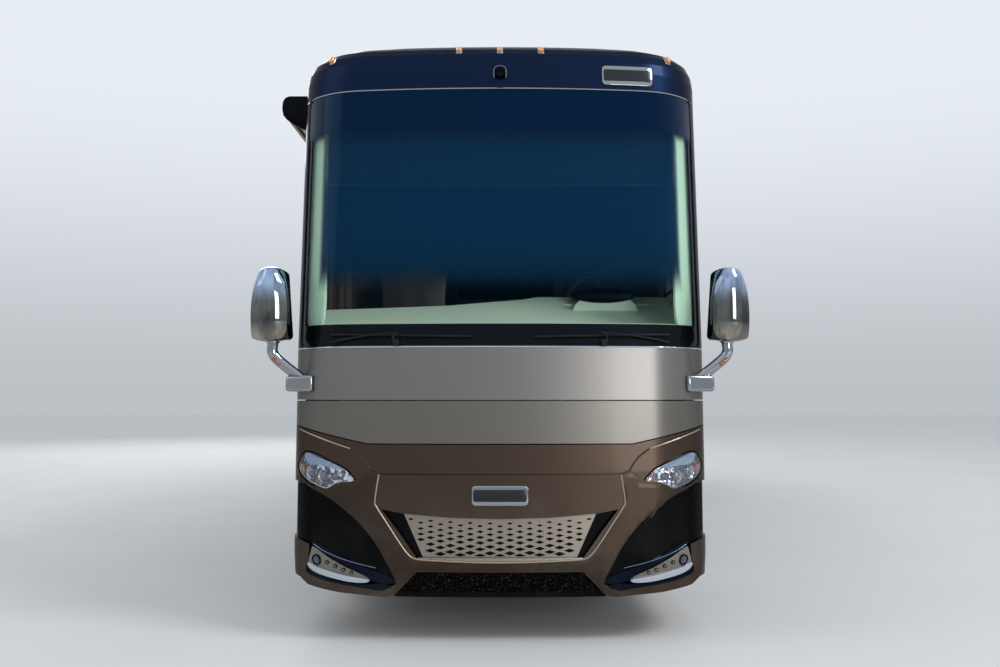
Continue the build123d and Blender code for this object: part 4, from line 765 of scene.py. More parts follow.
def build_finishes():
    """Every finish of the coach, by name."""
    SHARED_GROUPS.update(livery=livery_group(), road_dust=dust_group(), grain=grain_group())
    bronze = tuple(bpy.context.scene.coach_colours.bronze)
    champagne = tuple(bpy.context.scene.coach_colours.champagne)
    # The mask's arms get a darker copy of the bronze: painted shade.
    shaded_bronze = tuple(0.78 * part for part in bronze)
    return {
        "coach_paint": paint("side_livery_paint"),
        "mask_paint": paint("bronze_paint", bronze, 0.2),
        "skirt_paint": paint("skirt_bronze_paint", bronze, 0.45),
        "grille_paint": paint("champagne_paint", champagne, 0.2),
        "gloss_black": grained(
            "gloss_black_plastic", (0.006, 0.0062, 0.007), 0.14, 60, 0.1, 0.0, 0.85, dust=0.04, edge=0.12
        ),
        "arm_paint": paint("arm_bronze_paint", shaded_bronze, 0.2),
        "mirror_shell": mirror_shell(),
        "marker_lens": clear_lens("mirror_marker_lens", (0.30, 0.06, 0.012), 0.96, flutes=60),
        "plaque_field": grained("plaque_field_satin", (0.02, 0.024, 0.03), 0.25, 90, 0.1, 0.0, 0.6),
        "frit_black": grained("printed_border", (0.002, 0.0024, 0.003), 0.15, 400, 0.2, 0.0, shine=0.1),
        "speckled_black": speckled(),
        "chassis_paint": grained("chassis_black", (0.018, 0.018, 0.019), 0.55, 120, 0.3, 0.15, dust=0.6),
        "engine_paint": grained("cast_engine", (0.10, 0.10, 0.11), 0.6, 80, 0.4, 0.4, 0.5, dust=0.3),
        "bay_lining": grained("bay_lining_sheet", (0.30, 0.30, 0.29), 0.6, 200, 0.15, 0.1),
        "floor_board": grained("plank_floor", (0.20, 0.13, 0.08), 0.4, 30, 0.4, 0.1),
        "roof_skin": grained("roof_gel_coat", (0.58, 0.57, 0.54), 0.35, 15, 0.12, 0.02),
        "roof_shroud": grained("roof_shroud_plastic", (0.62, 0.61, 0.58), 0.45, 250, 0.1, 0.1),
        # Pale green and bright: the green tint the trim shows through the windscreen, and painted sunlight on
        # it.
        "dash_trim": grained("dash_soft_trim", (0.62, 0.86, 0.68), 0.5, 350, 0.08, 0.2),
        "seat_leather": grained("seat_hide", (0.07, 0.06, 0.05), 0.45, 260, 0.2, 0.35),
        "shade_fabric": grained("blind_cloth", (0.05, 0.13, 0.15), 0.85, 500, 0.3, 0.3),
        "amber_lens": clear_lens("amber_moulded_lens", (0.85, 0.32, 0.03), 0.95, flutes=60),
        "red_lens": clear_lens("red_moulded_lens", (0.45, 0.012, 0.01), 0.96, flutes=60),
        "lamp_lens": clear_lens("headlamp_cover", (0.75, 0.8, 0.86), 0.07, 0.02),
        "awning_case": grained("awning_case_paint", (0.30, 0.25, 0.19), 0.4, 200, 0.1, 0.05, 0.3, coat=0.4),
        "wiper_black": grained("wiper_rubber", (0.010, 0.010, 0.011), 0.55, 200, 0.2, 0.1, shine=0.15),
        "mirror_chrome": grained("bright_chrome", (0.33, 0.345, 0.37), 0.07, 8, 0.05, 0.0, 1.0),
        "step_metal": grained("step_tread_metal", (0.38, 0.38, 0.38), 0.4, 90, 0.3, 0.4, 0.9, dust=0.4),
        "tyre_rubber": grained("tyre_tread_rubber", (0.022, 0.022, 0.023), 0.8, 150, 0.3, 0.25, dust=0.55),
        "rim_alloy": grained("polished_rim", (0.78, 0.79, 0.8), 0.14, 40, 0.08, 0.02, 1.0, dust=0.25),
        # A lighter copy of the bronze: on the grille lip and the mask's creases it is a painted highlight
        # along the rounded edge; on the rub strips, belts, slide trims and awning rail it is the trim's
        # colour.
        "bright_bronze": paint("bright_bronze_edge", (0.42, 0.34, 0.28), 0.1),
        "shield_blue": grained("lamp_shield_gloss", (0.22, 0.32, 0.46), 0.12, 100, 0.04, 0.0, 0.8, shine=0.6),
        "pale_silver": grained("pod_satin", (0.20, 0.185, 0.16), 0.35, 300, 0.08, 0.03, 0.6, dust=0.1),
        # Pale blue-white polished metal: the blue is a painted sky reflection, and on the fog pod's lip the
        # brightness is a painted glint.
        "white_silver": grained(
            "bright_silver_polish", (0.52, 0.57, 0.64), 0.12, 100, 0.04, 0.0, 0.7, dust=0.05
        ),
        "navy_gloss": grained(
            "navy_gloss_blade", (0.006, 0.010, 0.022), 0.10, 60, 0.1, 0.0, 0.85, dust=0.04, edge=0.15
        ),
        "facet_chrome": facet_chrome(),
        "projector_glass": clear_lens("projector_lens", (0.02, 0.03, 0.08), 0.97, 0.02),
        "smoke_lens": clear_lens("smoked_vent_lid", (0.05, 0.05, 0.055), 0.9, 0.08),
        "white_lens": clear_lens("white_moulded_lens", (0.75, 0.75, 0.75), 0.92, flutes=60),
        "mirror_glass": grained("mirror_pane", (0.8, 0.83, 0.85), 0.02, 8, 0.02, 0.0, 1.0),
        "window_frame": grained("anodised_black_frame", (0.02, 0.02, 0.022), 0.35, 200, 0.15, 0.05, 0.5),
        "topper_cloth": grained("topper_weave", (0.05, 0.05, 0.055), 0.85, 600, 0.3, 0.4, dust=0.3),
        # Pale green and bright: the green tint the pillar trims show through the windscreen, and painted
        # sunlight on them.
        "pillar_lining": grained("pillar_lining", (0.52, 0.80, 0.60), 0.6, 350, 0.1, 0.2),
        "wheel_hide": grained("steering_hide", (0.05, 0.045, 0.04), 0.4, 300, 0.2, 0.3),
        "screen_glass": screen_glass(),
        "dark_glass": privacy_glass(),
    }


class CoachColours(bpy.types.PropertyGroup):
    """Paint colours of the coach."""
    bronze: FloatVectorProperty(
        name="Bronze", description="Lower mask and skirts", subtype="COLOR", default=(0.067, 0.047, 0.035)
    )
    champagne: FloatVectorProperty(
        name="Champagne", description="Grille plate", subtype="COLOR", default=(0.30, 0.262, 0.22)
    )


class CoachWheels(bpy.types.PropertyGroup):
    """Sizes of the wheels."""
    tyre_width: FloatProperty(
        name="Tyre Width", description="Width of one tyre", default=0.298, unit="LENGTH"
    )
    hand_holes: IntProperty(
        name="Hand Holes", description="Holes round each wheel disc", default=10, min=4, max=20
    )


class CoachStage(bpy.types.PropertyGroup):
    """The camera's place and the light's level."""
    eye_height: FloatProperty(name="Eye Height", description="Camera height", default=1.45, unit="LENGTH")
    eye_distance: FloatProperty(
        name="Distance", description="Camera to the nose", default=5.98, unit="LENGTH"
    )
    tilt: FloatProperty(name="Tilt", description="Camera pitch", default=math.radians(3.457), subtype="ANGLE")
    lens: FloatProperty(name="Lens", description="Focal length in millimetres", default=36.65)
    sky: FloatProperty(name="Sky Level", description="World light strength", default=0.75)


class COACH_OT_finishes(bpy.types.Operator):
    """Gives each panel of the coach its finish"""
    bl_idname = "coach.finishes"
    bl_label = "Finishes"

    def execute(self, context):
        FINISHES.update(build_finishes())
        for entry in frame["record"]["subparts"]:
            for slot in NODES[entry["node"]].material_slots:
                slot.material = FINISHES[entry["material_slot"]]
        return {"FINISHED"}


class COACH_OT_mask(bpy.types.Operator):
    """Builds the raised arms of the lower mask in a darker bronze as painted shade, with lips and creases
    whose lighter beads are painted highlights, and plain plaques
    """
    bl_idname = "coach.mask"
    bl_label = "Mask"

    def execute(self, context):
        edge = [
            (1.143, 0.896), (1.066, 0.869), (0.967, 0.815), (0.845, 0.718), (0.746, 0.608), (0.670, 0.489),
            (0.619, 0.384),
        ]
        half = [
            (0.0, 0.470), (0.300, 0.476), (0.470, 0.486), (0.512, 0.503), (0.560, 0.560), (0.655, 0.700),
            (0.716, 0.790), (0.730, 0.830), (0.708, 0.985), (0.766, 1.010), (0.800, 0.985), (0.838, 0.933),
            (0.952, 0.921), (1.029, 0.882), *curved(edge + [(0.610, 0.340)], closed=False),
            (0.612, 0.300), (0.495, 0.428), (0.0, 0.428),
        ]
        arms = nose_plate("mask_arms", whole(half), 0.0125, 0.012, 0.004)
        # The arms' darker bronze is painted shade.
        dress(arms, "arm_paint", "nose_unit")
        lip = [
            (0.712, 0.985), (0.734, 0.83), (0.720, 0.79), (0.66, 0.70), (0.565, 0.56), (0.516, 0.508),
            (0.47, 0.494),
        ]
        lip = curved(lip, 3, False) + along([(0.44, 0.492), (0.3, 0.485), (0.15, 0.480), (0.0, 0.478)], 0.05)
        # The lip bead's lighter bronze is a painted highlight on the arm's rounded edge.
        bead = nose_tube("grille_lip", lip + sided(lip[-2::-1]), 0.0045, 0.011)
        dress(bead, "bright_bronze", "nose_unit")
        low = [(0.0, 0.474), (0.3, 0.480), (0.486, 0.492)]
        sill = sided(low[:0:-1]) + low + [(0.478, 0.504), (-0.478, 0.504)]
        sill = nose_plate("grille_sill", sill, 0.006, 0.012, 0.002)
        dress(sill, "grille_paint", "nose_unit")
        grille = dress(self.grille(), "grille_paint", "nose_unit")
        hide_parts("grille")
        panel = curved(edge, closed=False) + [
            (0.604, 0.350), (0.66, 0.372), (0.80, 0.436), (0.92, 0.492), (1.06, 0.560), (1.135, 0.585),
            (1.22, 0.590), (1.24, 0.62), (1.24, 0.91), (1.19, 0.918),
        ]
        crease = along([(1.225, 1.240), (0.886, 1.133)])
        fold = curved([(0.882, 1.131), (0.83, 1.095), (0.79, 1.05), (0.766, 1.012)], 3, False)
        for side, hand in HANDS:
            insert = nose_plate(f"corner_insert_{hand}", sided(panel, side), 0.0075, 0.010, 0.002)
            dress(insert, "gloss_black", "nose_unit")
            # The crease strip's lighter bronze is a painted highlight along the crease.
            strip = nose_tube(f"crease_strip_{hand}", sided(crease, side), 0.0045, 0.004)
            dress(strip, "bright_bronze", "nose_unit")
            ridge = nose_tube(f"shoulder_ridge_{hand}", sided(fold, side), 0.006, -0.002)
            dress(ridge, "mask_paint", "nose_unit")
        valances = (
            (-0.498, -0.154, -0.603, -0.154), (-0.149, 0.149, -0.149, 0.149), (0.154, 0.498, 0.154, 0.603)
        )
        for number, (left, right, low_left, low_right) in enumerate(valances, 1):
            points = [(left, 0.423), (low_left, 0.296), (low_right, 0.296), (right, 0.423)]
            piece = nose_plate(f"valance_panel_{number}", points, -0.019, 0.008, 0.002)
            dress(piece, "speckled_black", "nose_unit")
        for name, x, z, half_width, half_height, proud, body in (
            ("nose_plaque", 0.0, 0.864, 0.165, 0.058, 0.022, "nose_unit"),
            ("brow_plaque", 0.80, 3.452, 0.160, 0.064, 0.007, "coach"),
        ):
            border = curved_box(x - half_width, x + half_width, z - half_height, z + half_height, 0.022)
            half_width -= 0.009
            half_height *= 0.6
            inner = curved_box(x - half_width, x + half_width, z - half_height, z + half_height, 0.012)
            rim = nose_plate(name, border, proud, 0.012, 0.003, 3)
            field = nose_plate(name + "_field", inner, proud + 0.0015, 0.004, 0.001)
            dress(rim, "mirror_chrome", body)
            dress(field, "plaque_field", body)
        return {"FINISHED"}

    def grille(self):
        """The recessed plate with staggered diamonds that grow towards its lower edge."""
        pitch, wall, floor = 0.058, 0.008, 0.503
        outline = whole([(0.0, floor), (0.449, floor), (0.565, 0.758), (0.300, 0.737), (0.0, 0.729)])
        plate = polygon("grille_diamonds", [(x, 0, z) for x, z in outline])
        outward(thickened(plate, wall, 0))
        ladders = ((0.685, 0.652, 0.620, 0.588, 0.551, 0.514), (0.701, 0.668, 0.6365, 0.604, 0.566, 0.529))
        cutters = []
        for column in range(-9, 10):
            x = pitch * column
            for z in ladders[column % 2]:
                z += 0.085 * x * x
                low = min(max((0.70 - z) / 0.18, 0), 1)
                wide, tall = 0.018 + 0.019 * low, 0.007 + 0.006 * low
                border = 0.449 + (z - floor) * 0.455 - 0.010
                if abs(x) + 0.3 * wide > border or z - 0.2 * tall < 0.510:
                    continue
                left, right = max(x - wide, -border), min(x + wide, border)
                points = [(left, z), (x, max(z - tall, 0.509)), (right, z), (x, z + tall)]
                cutter = outline_plate("diamond", [(a, 0.02, b) for a, b in points], 5 * wall)
                centre = sum(vertex.co.y for vertex in cutter.data.vertices) / len(cutter.data.vertices)
                for vertex in cutter.data.vertices:
                    vertex.co.y -= centre
                cutters.append(cutter)
        slices(bored(plate, cutters), 0, pitch)
        for vertex in plate.data.vertices:
            vertex.co.y += nose_y(vertex.co.x, vertex.co.z) + 0.020
        return smooth(plate, 30)


def lamp_part(name, profile, radius, steps, spot, proud, finish):
    """A turned part of a front lamp, its profile in shares of the radius, set on the nose."""
    points = [(depth, share * radius or AXIS_POINT) for depth, share in profile]
    piece = set_on_nose(lathe(name, points, (0, 0, 0), "Y", steps), *spot, proud)
    return dress(piece, finish, "nose_unit")


class COACH_OT_headlamps(bpy.types.Operator):
    """Builds the headlamps: bezel, faceted housing, shield, projectors and clear cover"""
    bl_idname = "coach.headlamps"
    bl_label = "Headlamps"

    def execute(self, context):
        outline = [
            (1.238, 1.02), (1.220, 1.061), (1.194, 1.100), (1.168, 1.110), (1.116, 1.104), (1.048, 1.076),
            (0.977, 1.045), (0.915, 1.016), (0.881, 0.984), (0.846, 0.941), (0.861, 0.931), (0.914, 0.934),
            (0.954, 0.924), (0.982, 0.912), (1.006, 0.897), (1.030, 0.889), (1.067, 0.896), (1.120, 0.914),
            (1.186, 0.945), (1.220, 0.975),
        ]
        shield = [
            (1.190, 1.090), (1.160, 1.103), (1.112, 1.098), (1.048, 1.070), (0.977, 1.040), (0.915, 1.011),
            (0.942, 1.009), (1.011, 1.020), (1.084, 1.030), (1.150, 1.036), (1.178, 1.058),
        ]
        rim = [
            (1.207, 1.066), (1.224, 1.022), (1.204, 0.978), (1.144, 0.936), (1.082, 0.911), (1.031, 0.898),
            (0.999, 0.914), (0.975, 0.930), (0.945, 0.940), (0.861, 0.938),
        ]
        amber = [(1.234, 1.01), (1.222, 0.972), (1.200, 0.955), (1.196, 0.99), (1.203, 1.028), (1.228, 1.03)]
        bowl = (
            (0.024, 0.3), (0.012, 0.8), (0.0, 1), (-0.004, 1), (-0.002, 0.93), (0.008, 0.76), (0.02, 0.25)
        )
        eye = ((0.016, 0), (0.016, 0.7), (0.004, 0.68), (-0.004, 0.45), (-0.008, 0))
        for side, hand in HANDS:
            lamp, top = sided(curved(outline, 2), side), sided(curved(shield, 2), side)
            line, corner = sided(curved(rim, closed=False), side), sided(curved(amber, 3), side)
            for piece, finish in (
                (nose_plate(f"headlamp_bowl_{hand}", lamp, -0.030, 0.008), "facet_chrome"),
                (nose_plate(f"headlamp_shield_{hand}", top, -0.004, 0.012, 0.004), "shield_blue"),
                (nose_tube(f"headlamp_rim_{hand}", line, 0.003, 0.003), "mirror_chrome"),
                (nose_plate(f"headlamp_amber_{hand}", corner, -0.008, 0.012, 0.002), "marker_lens"),
                (nose_tube(f"headlamp_bezel_{hand}", lamp, 0.0065, -0.002, True), "gloss_black"),
            ):
                dress(piece, finish, "nose_unit")
            for number, (x, z, radius) in enumerate(
                ((1.150, 0.985, 0.040), (1.062, 0.966, 0.036), (0.985, 0.968, 0.024)), 1
            ):
                spot = (side * x, z)
                lamp_part(f"headlamp_ring_{hand}_{number}", bowl, radius, 32, spot, -0.010, "mirror_chrome")
                lamp_part(f"headlamp_eye_{hand}_{number}", eye, radius, 32, spot, -0.010, "projector_glass")
            cover = nose_plate(f"headlamp_cover_{hand}", lamp, 0.003, 0.003, 0.001)
            dress(cover, "lamp_lens", "nose_unit")
            if side > 0:
                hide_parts("front_lamps")
        return {"FINISHED"}


class COACH_OT_corner_lamps(bpy.types.Operator):
    """Builds the lower corner pods with their fog lamps, and the dark blades round them"""
    bl_idname = "coach.corner_lamps"
    bl_label = "Corner Lamps"

    def execute(self, context):
        pod = [
            (1.112, 0.548), (1.130, 0.52), (1.150, 0.43), (1.10, 0.396), (0.993, 0.372), (0.88, 0.352),
            (0.79, 0.350), (0.764, 0.366), (0.80, 0.392), (0.90, 0.436), (1.02, 0.498),
        ]
        lip = [
            (1.146, 0.452), (1.150, 0.425), (1.10, 0.396), (0.993, 0.372), (0.88, 0.352), (0.79, 0.350),
            (0.768, 0.366), (0.81, 0.375), (0.90, 0.388), (1.0, 0.410), (1.10, 0.434),
        ]
        upper = [
            (1.104, 0.590), (1.122, 0.572), (1.06, 0.532), (0.92, 0.462), (0.80, 0.400), (0.72, 0.352),
            (0.616, 0.350), (0.645, 0.392), (0.76, 0.432), (0.90, 0.492), (1.02, 0.548),
        ]
        lower = [
            (1.160, 0.430), (1.158, 0.388), (1.05, 0.356), (0.90, 0.332), (0.76, 0.312), (0.70, 0.304),
            (0.635, 0.330), (0.70, 0.346), (0.80, 0.340), (0.90, 0.346), (1.05, 0.378), (1.13, 0.405),
        ]
        line = along([
            (1.108, 0.566), (1.054, 0.537), (1.004, 0.518), (0.949, 0.499), (0.882, 0.479), (0.804, 0.459),
            (0.726, 0.442),
        ])
        ring = ((0.010, 1), (-0.004, 1), (-0.006, 0.92), (-0.004, 0.82), (0.010, 0.7))
        eye = ((0.008, 0), (0.008, 0.8), (0.0, 0.78), (-0.005, 0.5), (-0.007, 0))
        lamps = (
            (1.091, 0.473, 0.033), (1.022, 0.464, 0.012), (0.970, 0.444, 0.012), (0.920, 0.424, 0.012),
            (0.874, 0.408, 0.010),
        )
        for side, hand in HANDS:
            for name, points, proud, thickness, edge, finish, slot in (
                ("fog_pod", pod, -0.002, 0.010, 0.002, "pale_silver", "lamp_lens"),
                # The lip's blue-white silver is a painted glint and sky reflection.
                ("fog_pod_lip", lip, 0.008, 0.012, 0.005, "white_silver", "lamp_lens"),
                ("corner_blade_upper", upper, 0.012, 0.016, 0.006, "navy_gloss", "gloss_black"),
                ("corner_blade_lower", lower, 0.012, 0.016, 0.006, "navy_gloss", "gloss_black"),
            ):
                points = sided(curved(points, 3), side)
                piece = nose_plate(f"{name}_{hand}", points, proud, thickness, edge, 3)
                dress(piece, finish, "nose_unit")
            # A thin pale blue bead along the upper blade: a painted highlight line.
            bead = nose_tube(f"corner_blade_line_{hand}", sided(line, side), 0.0018, 0.013)
            dress(bead, "shield_blue", "nose_unit")
            for number, (x, z, radius) in enumerate(lamps, 1):
                spot = (side * x, z)
                glass = "projector_glass" if number == 1 else "pale_silver"
                lamp_part(f"fog_ring_{hand}_{number}", ring, radius, 28, spot, 0, "gloss_black")
                lamp_part(f"fog_eye_{hand}_{number}", eye, radius, 28, spot, 0, glass)
        return {"FINISHED"}


class COACH_OT_brow(bpy.types.Operator):
    """Builds the brow's clearance lamps and camera, the windscreen's trims and the wipers"""
    bl_idname = "coach.brow"
    bl_label = "Brow and Wipers"

    def execute(self, context):
        lamps = ((0, 3.618), (-0.258, 3.618), (0.258, 3.618), (-1.07, 3.588), (1.07, 3.588))
        for number, (x, z) in enumerate(lamps, 1):
            lens = brick(f"brow_lamp_{number}", (-0.015, -0.024, -0.022), (0.015, 0.030, 0.022), 0.011, 4)
            base = brick(
                f"brow_lamp_base_{number}", (-0.020, -0.006, -0.030), (0.020, 0.030, 0.028), 0.006, 3
            )
            dress(set_on_nose(lens, x, z), "amber_lens", "coach")
            dress(set_on_nose(base, x, z), "mirror_chrome", "coach")
            if number == 1:
                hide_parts("clearance_lamps")
        barrel = (
            (0.03, 0.03), (-0.022, 0.034), (-0.032, 0.030), (-0.032, 0.018), (-0.022, 0.014),
            (-0.022, AXIS_POINT), (0.03, AXIS_POINT),
        )
        camera = lathe("brow_camera", barrel, (0, nose_y(0, 3.452), 3.452), "Y", 32)
        dress(camera, "gloss_black", "coach")
        arch = [(-0.036, 3.420), (-0.038, 3.465), (-0.026, 3.492), (0, 3.500)]
        arch = curved(arch + sided(arch[-2::-1]), 3, False)
        hood = nose_plate("brow_camera_hood", arch, 0.008, 0.014, 0.003)
        dress(hood, "gloss_black", "coach")
        dress(nose_tube("brow_camera_rim", arch, 0.0035, 0.010), "mirror_chrome", "coach")
        self.screen()
        for side, hand in HANDS:
            self.wiper(side, hand)
        return {"FINISHED"}

    def screen(self):
        """The windscreen's pane with its printed border, trims and seal."""
        outline = curved_box(-1.2352, 1.2352, 1.741, 3.3485, 0.045)
        pane = nose_plate("windscreen_pane", outline, -0.001, 0.008, step=0.04)
        dress(pane, "screen_glass", "coach")
        pane.visible_shadow = False
        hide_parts("windscreen")
        for name, points in (
            ("bottom", [(-1.234, 1.744), (1.234, 1.744), (1.234, 1.876), (-1.234, 1.876)]),
            ("top", [(-1.228, 3.290), (1.228, 3.290), (1.228, 3.345), (-1.228, 3.345)]),
            ("driver", [(1.212, 1.862), (1.2345, 1.862), (1.2285, 3.290), (1.206, 3.290)]),
            ("curb", [(-1.2345, 1.862), (-1.212, 1.862), (-1.206, 3.290), (-1.2285, 3.290)]),
        ):
            border = nose_plate(f"screen_border_{name}", points, -0.0095, 0.0015, step=0.04)
            dress(border, "frit_black", "coach")
        for name, z, finish in (("top", 3.3550, "mirror_chrome"), ("bottom", 1.7365, "white_silver")):
            trim = nose_tube(f"screen_{name}_trim", along([(-1.262, z), (1.262, z)], 0.05), 0.0038, 0.0025)
            dress(trim, finish, "coach")
        side = [
            (1.215, 3.345), (1.232, 3.32), (1.236, 2.9), (1.238, 2.2), (1.239, 1.80), (1.222, 1.748),
            (1.17, 1.743),
        ]
        side = curved(side, 3, False)
        seal = nose_tube("screen_seal", side + sided(side[::-1]), 0.0055, -0.003)
        dress(seal, "wiper_black", "coach")

    def wiper(self, side, hand):
        """A parked wiper: arm, blade with its spine, pivot and link."""
        far_x, far_z = 1.02, 1.812
        tip_x, tip_z = (0.20, 1.795) if side > 0 else (0.16, 1.797)
        pivot = (side * 0.62, 1.762)
        arm = [(0.62, 1.762), (0.66, 1.80), (0.60, 1.822)]
        link = [(far_x, 1.765), (0.9, 1.79), (0.7, 1.815), (0.6, 1.818)]
        blade = [(far_x + (tip_x - far_x) * t, far_z + (tip_z - far_z) * t) for t in (0, 0.25, 0.5, 0.75, 1)]
        pieces = (
            nose_tube(f"wiper_arm_{hand}", sided(arm, side), 0.008, 0.022),
            nose_tube(f"wiper_blade_{hand}", sided(blade, side), 0.005, 0.008),
            nose_tube(f"wiper_spine_{hand}", sided(blade, side), 0.0065, 0.017),
            drum(f"wiper_pivot_{hand}", (pivot[0], nose_y(*pivot) - 0.012, pivot[1]), 0.02, 0.03, "Y", 0.004),
            nose_tube(f"wiper_link_{hand}", sided(link, side), 0.0055, 0.024),
        )
        for piece in pieces:
            dress(piece, "wiper_black", "coach")
        if side > 0:
            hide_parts("wipers")


class COACH_OT_mirrors(bpy.types.Operator):
    """Builds the chrome mirror heads, their arms, markers and corner brackets"""
    bl_idname = "coach.mirrors"
    bl_label = "Mirrors"
    middle = 1.405

    def execute(self, context):
        elbow = (
            (1.393, -6.590, 1.830), (1.393, -6.588, 1.772), (1.400, -6.585, 1.715), (1.380, -6.580, 1.680),
            (1.325, -6.575, 1.632), (1.255, -6.568, 1.578), (1.215, -6.565, 1.548),
        )
        for side, hand in HANDS:
            head = self.shell(f"mirror_shell_{hand}")
            housing = self.block(f"mirror_housing_{hand}", 0.120, -6.600, -6.470, 1.790, 2.222)
            self.narrow(housing, 0.26)
            rounded(housing, 0.030, 4)
            pane = self.block(f"mirror_glass_{hand}", 0.090, -6.4712, -6.4688, 1.935, 2.185, 0.001)
            self.narrow(pane, 0.2)
            spot_pane = self.block(f"mirror_spot_glass_{hand}", 0.092, -6.4712, -6.4688, 1.820, 1.915, 0.001)
            post = tube(f"mirror_arm_{hand}", elbow, 0.034, sides=20, resolution=8)
            for vertex in post.data.vertices:
                vertex.co.y = -6.580 + 0.8 * (vertex.co.y + 6.580)
            marker = brick(f"mirror_marker_{hand}", (-0.034, -0.012, -0.011), (0.034, 0.012, 0.011), 0.009, 3)
            moved(marker, (1.368, -6.606, 1.655), (0, math.radians(-37), 0))
            collar = drum(f"mirror_collar_{hand}", (1.393, -6.588, 1.778), 0.040, 0.026, "Z", 0.006)
            bracket = brick(f"mirror_bracket_{hand}", (1.134, -6.66, 1.468), (1.31, -6.47, 1.572))
            for vertex in bracket.data.vertices:
                if vertex.co.x > 1.2:
                    vertex.co.z = 1.518 + 0.92 * (vertex.co.z - 1.518)
                    vertex.co.y = max(vertex.co.y, -6.615)
            rounded(bracket, 0.018, 4)
            for piece, finish in (
                (head, "mirror_shell"),
                (housing, "gloss_black"),
                (pane, "mirror_glass"),
                (spot_pane, "mirror_glass"),
                (post, "mirror_chrome"),
                (marker, "marker_lens"),
                (collar, "mirror_chrome"),
                (bracket, "mirror_chrome"),
            ):
                if side < 0:
                    mirrored(piece)
                dress(piece, finish, "coach")
            if side > 0:
                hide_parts("mirrors")
        return {"FINISHED"}

    def block(self, name, half, front, back, low, high, edge=0.0):
        """A block on the mirror's middle line."""
        return brick(name, (self.middle - half, front, low), (self.middle + half, back, high), edge, 1)

    def narrow(self, piece, share):
        """Draws a piece in towards its top."""
        for vertex in piece.data.vertices:
            up = max((vertex.co.z - 1.79) / 0.432, 0)
            vertex.co.x = self.middle + (vertex.co.x - self.middle) * (1 - share * up**3)

    def shell(self, name):
        """The head's chrome shell, crowned to the front and narrower at the top."""
        half, half_height, height, front, depth = 0.1265, 0.233, 2.005, -6.695, 0.11
        head = self.block(name, half, front, front + depth, height - half_height, height + half_height)
        for vertex in subdivided(head, 9).data.vertices:
            spot = vertex.co
            across, high = (spot.x - self.middle) / half, (spot.z - height) / half_height
            ahead = 1 - (spot.y - front) / depth
            wide = half * (1 - 0.28 * ((high + 1) / 2) ** 3) * (1 - 0.10 * ahead**2)
            wide *= math.sqrt(1 - (0.20 if high > 0 else 0.09) * high**2)
            tall = half_height * (1 - 0.05 * ahead**2) * math.sqrt(1 - 0.20 * across**2)
            spot.x = self.middle + across * wide
            spot.y += 0.045 * ahead * across**2 + 0.035 * ahead * high**4
            spot.z = height + high * tall
        return smooth(domed(head), 60)


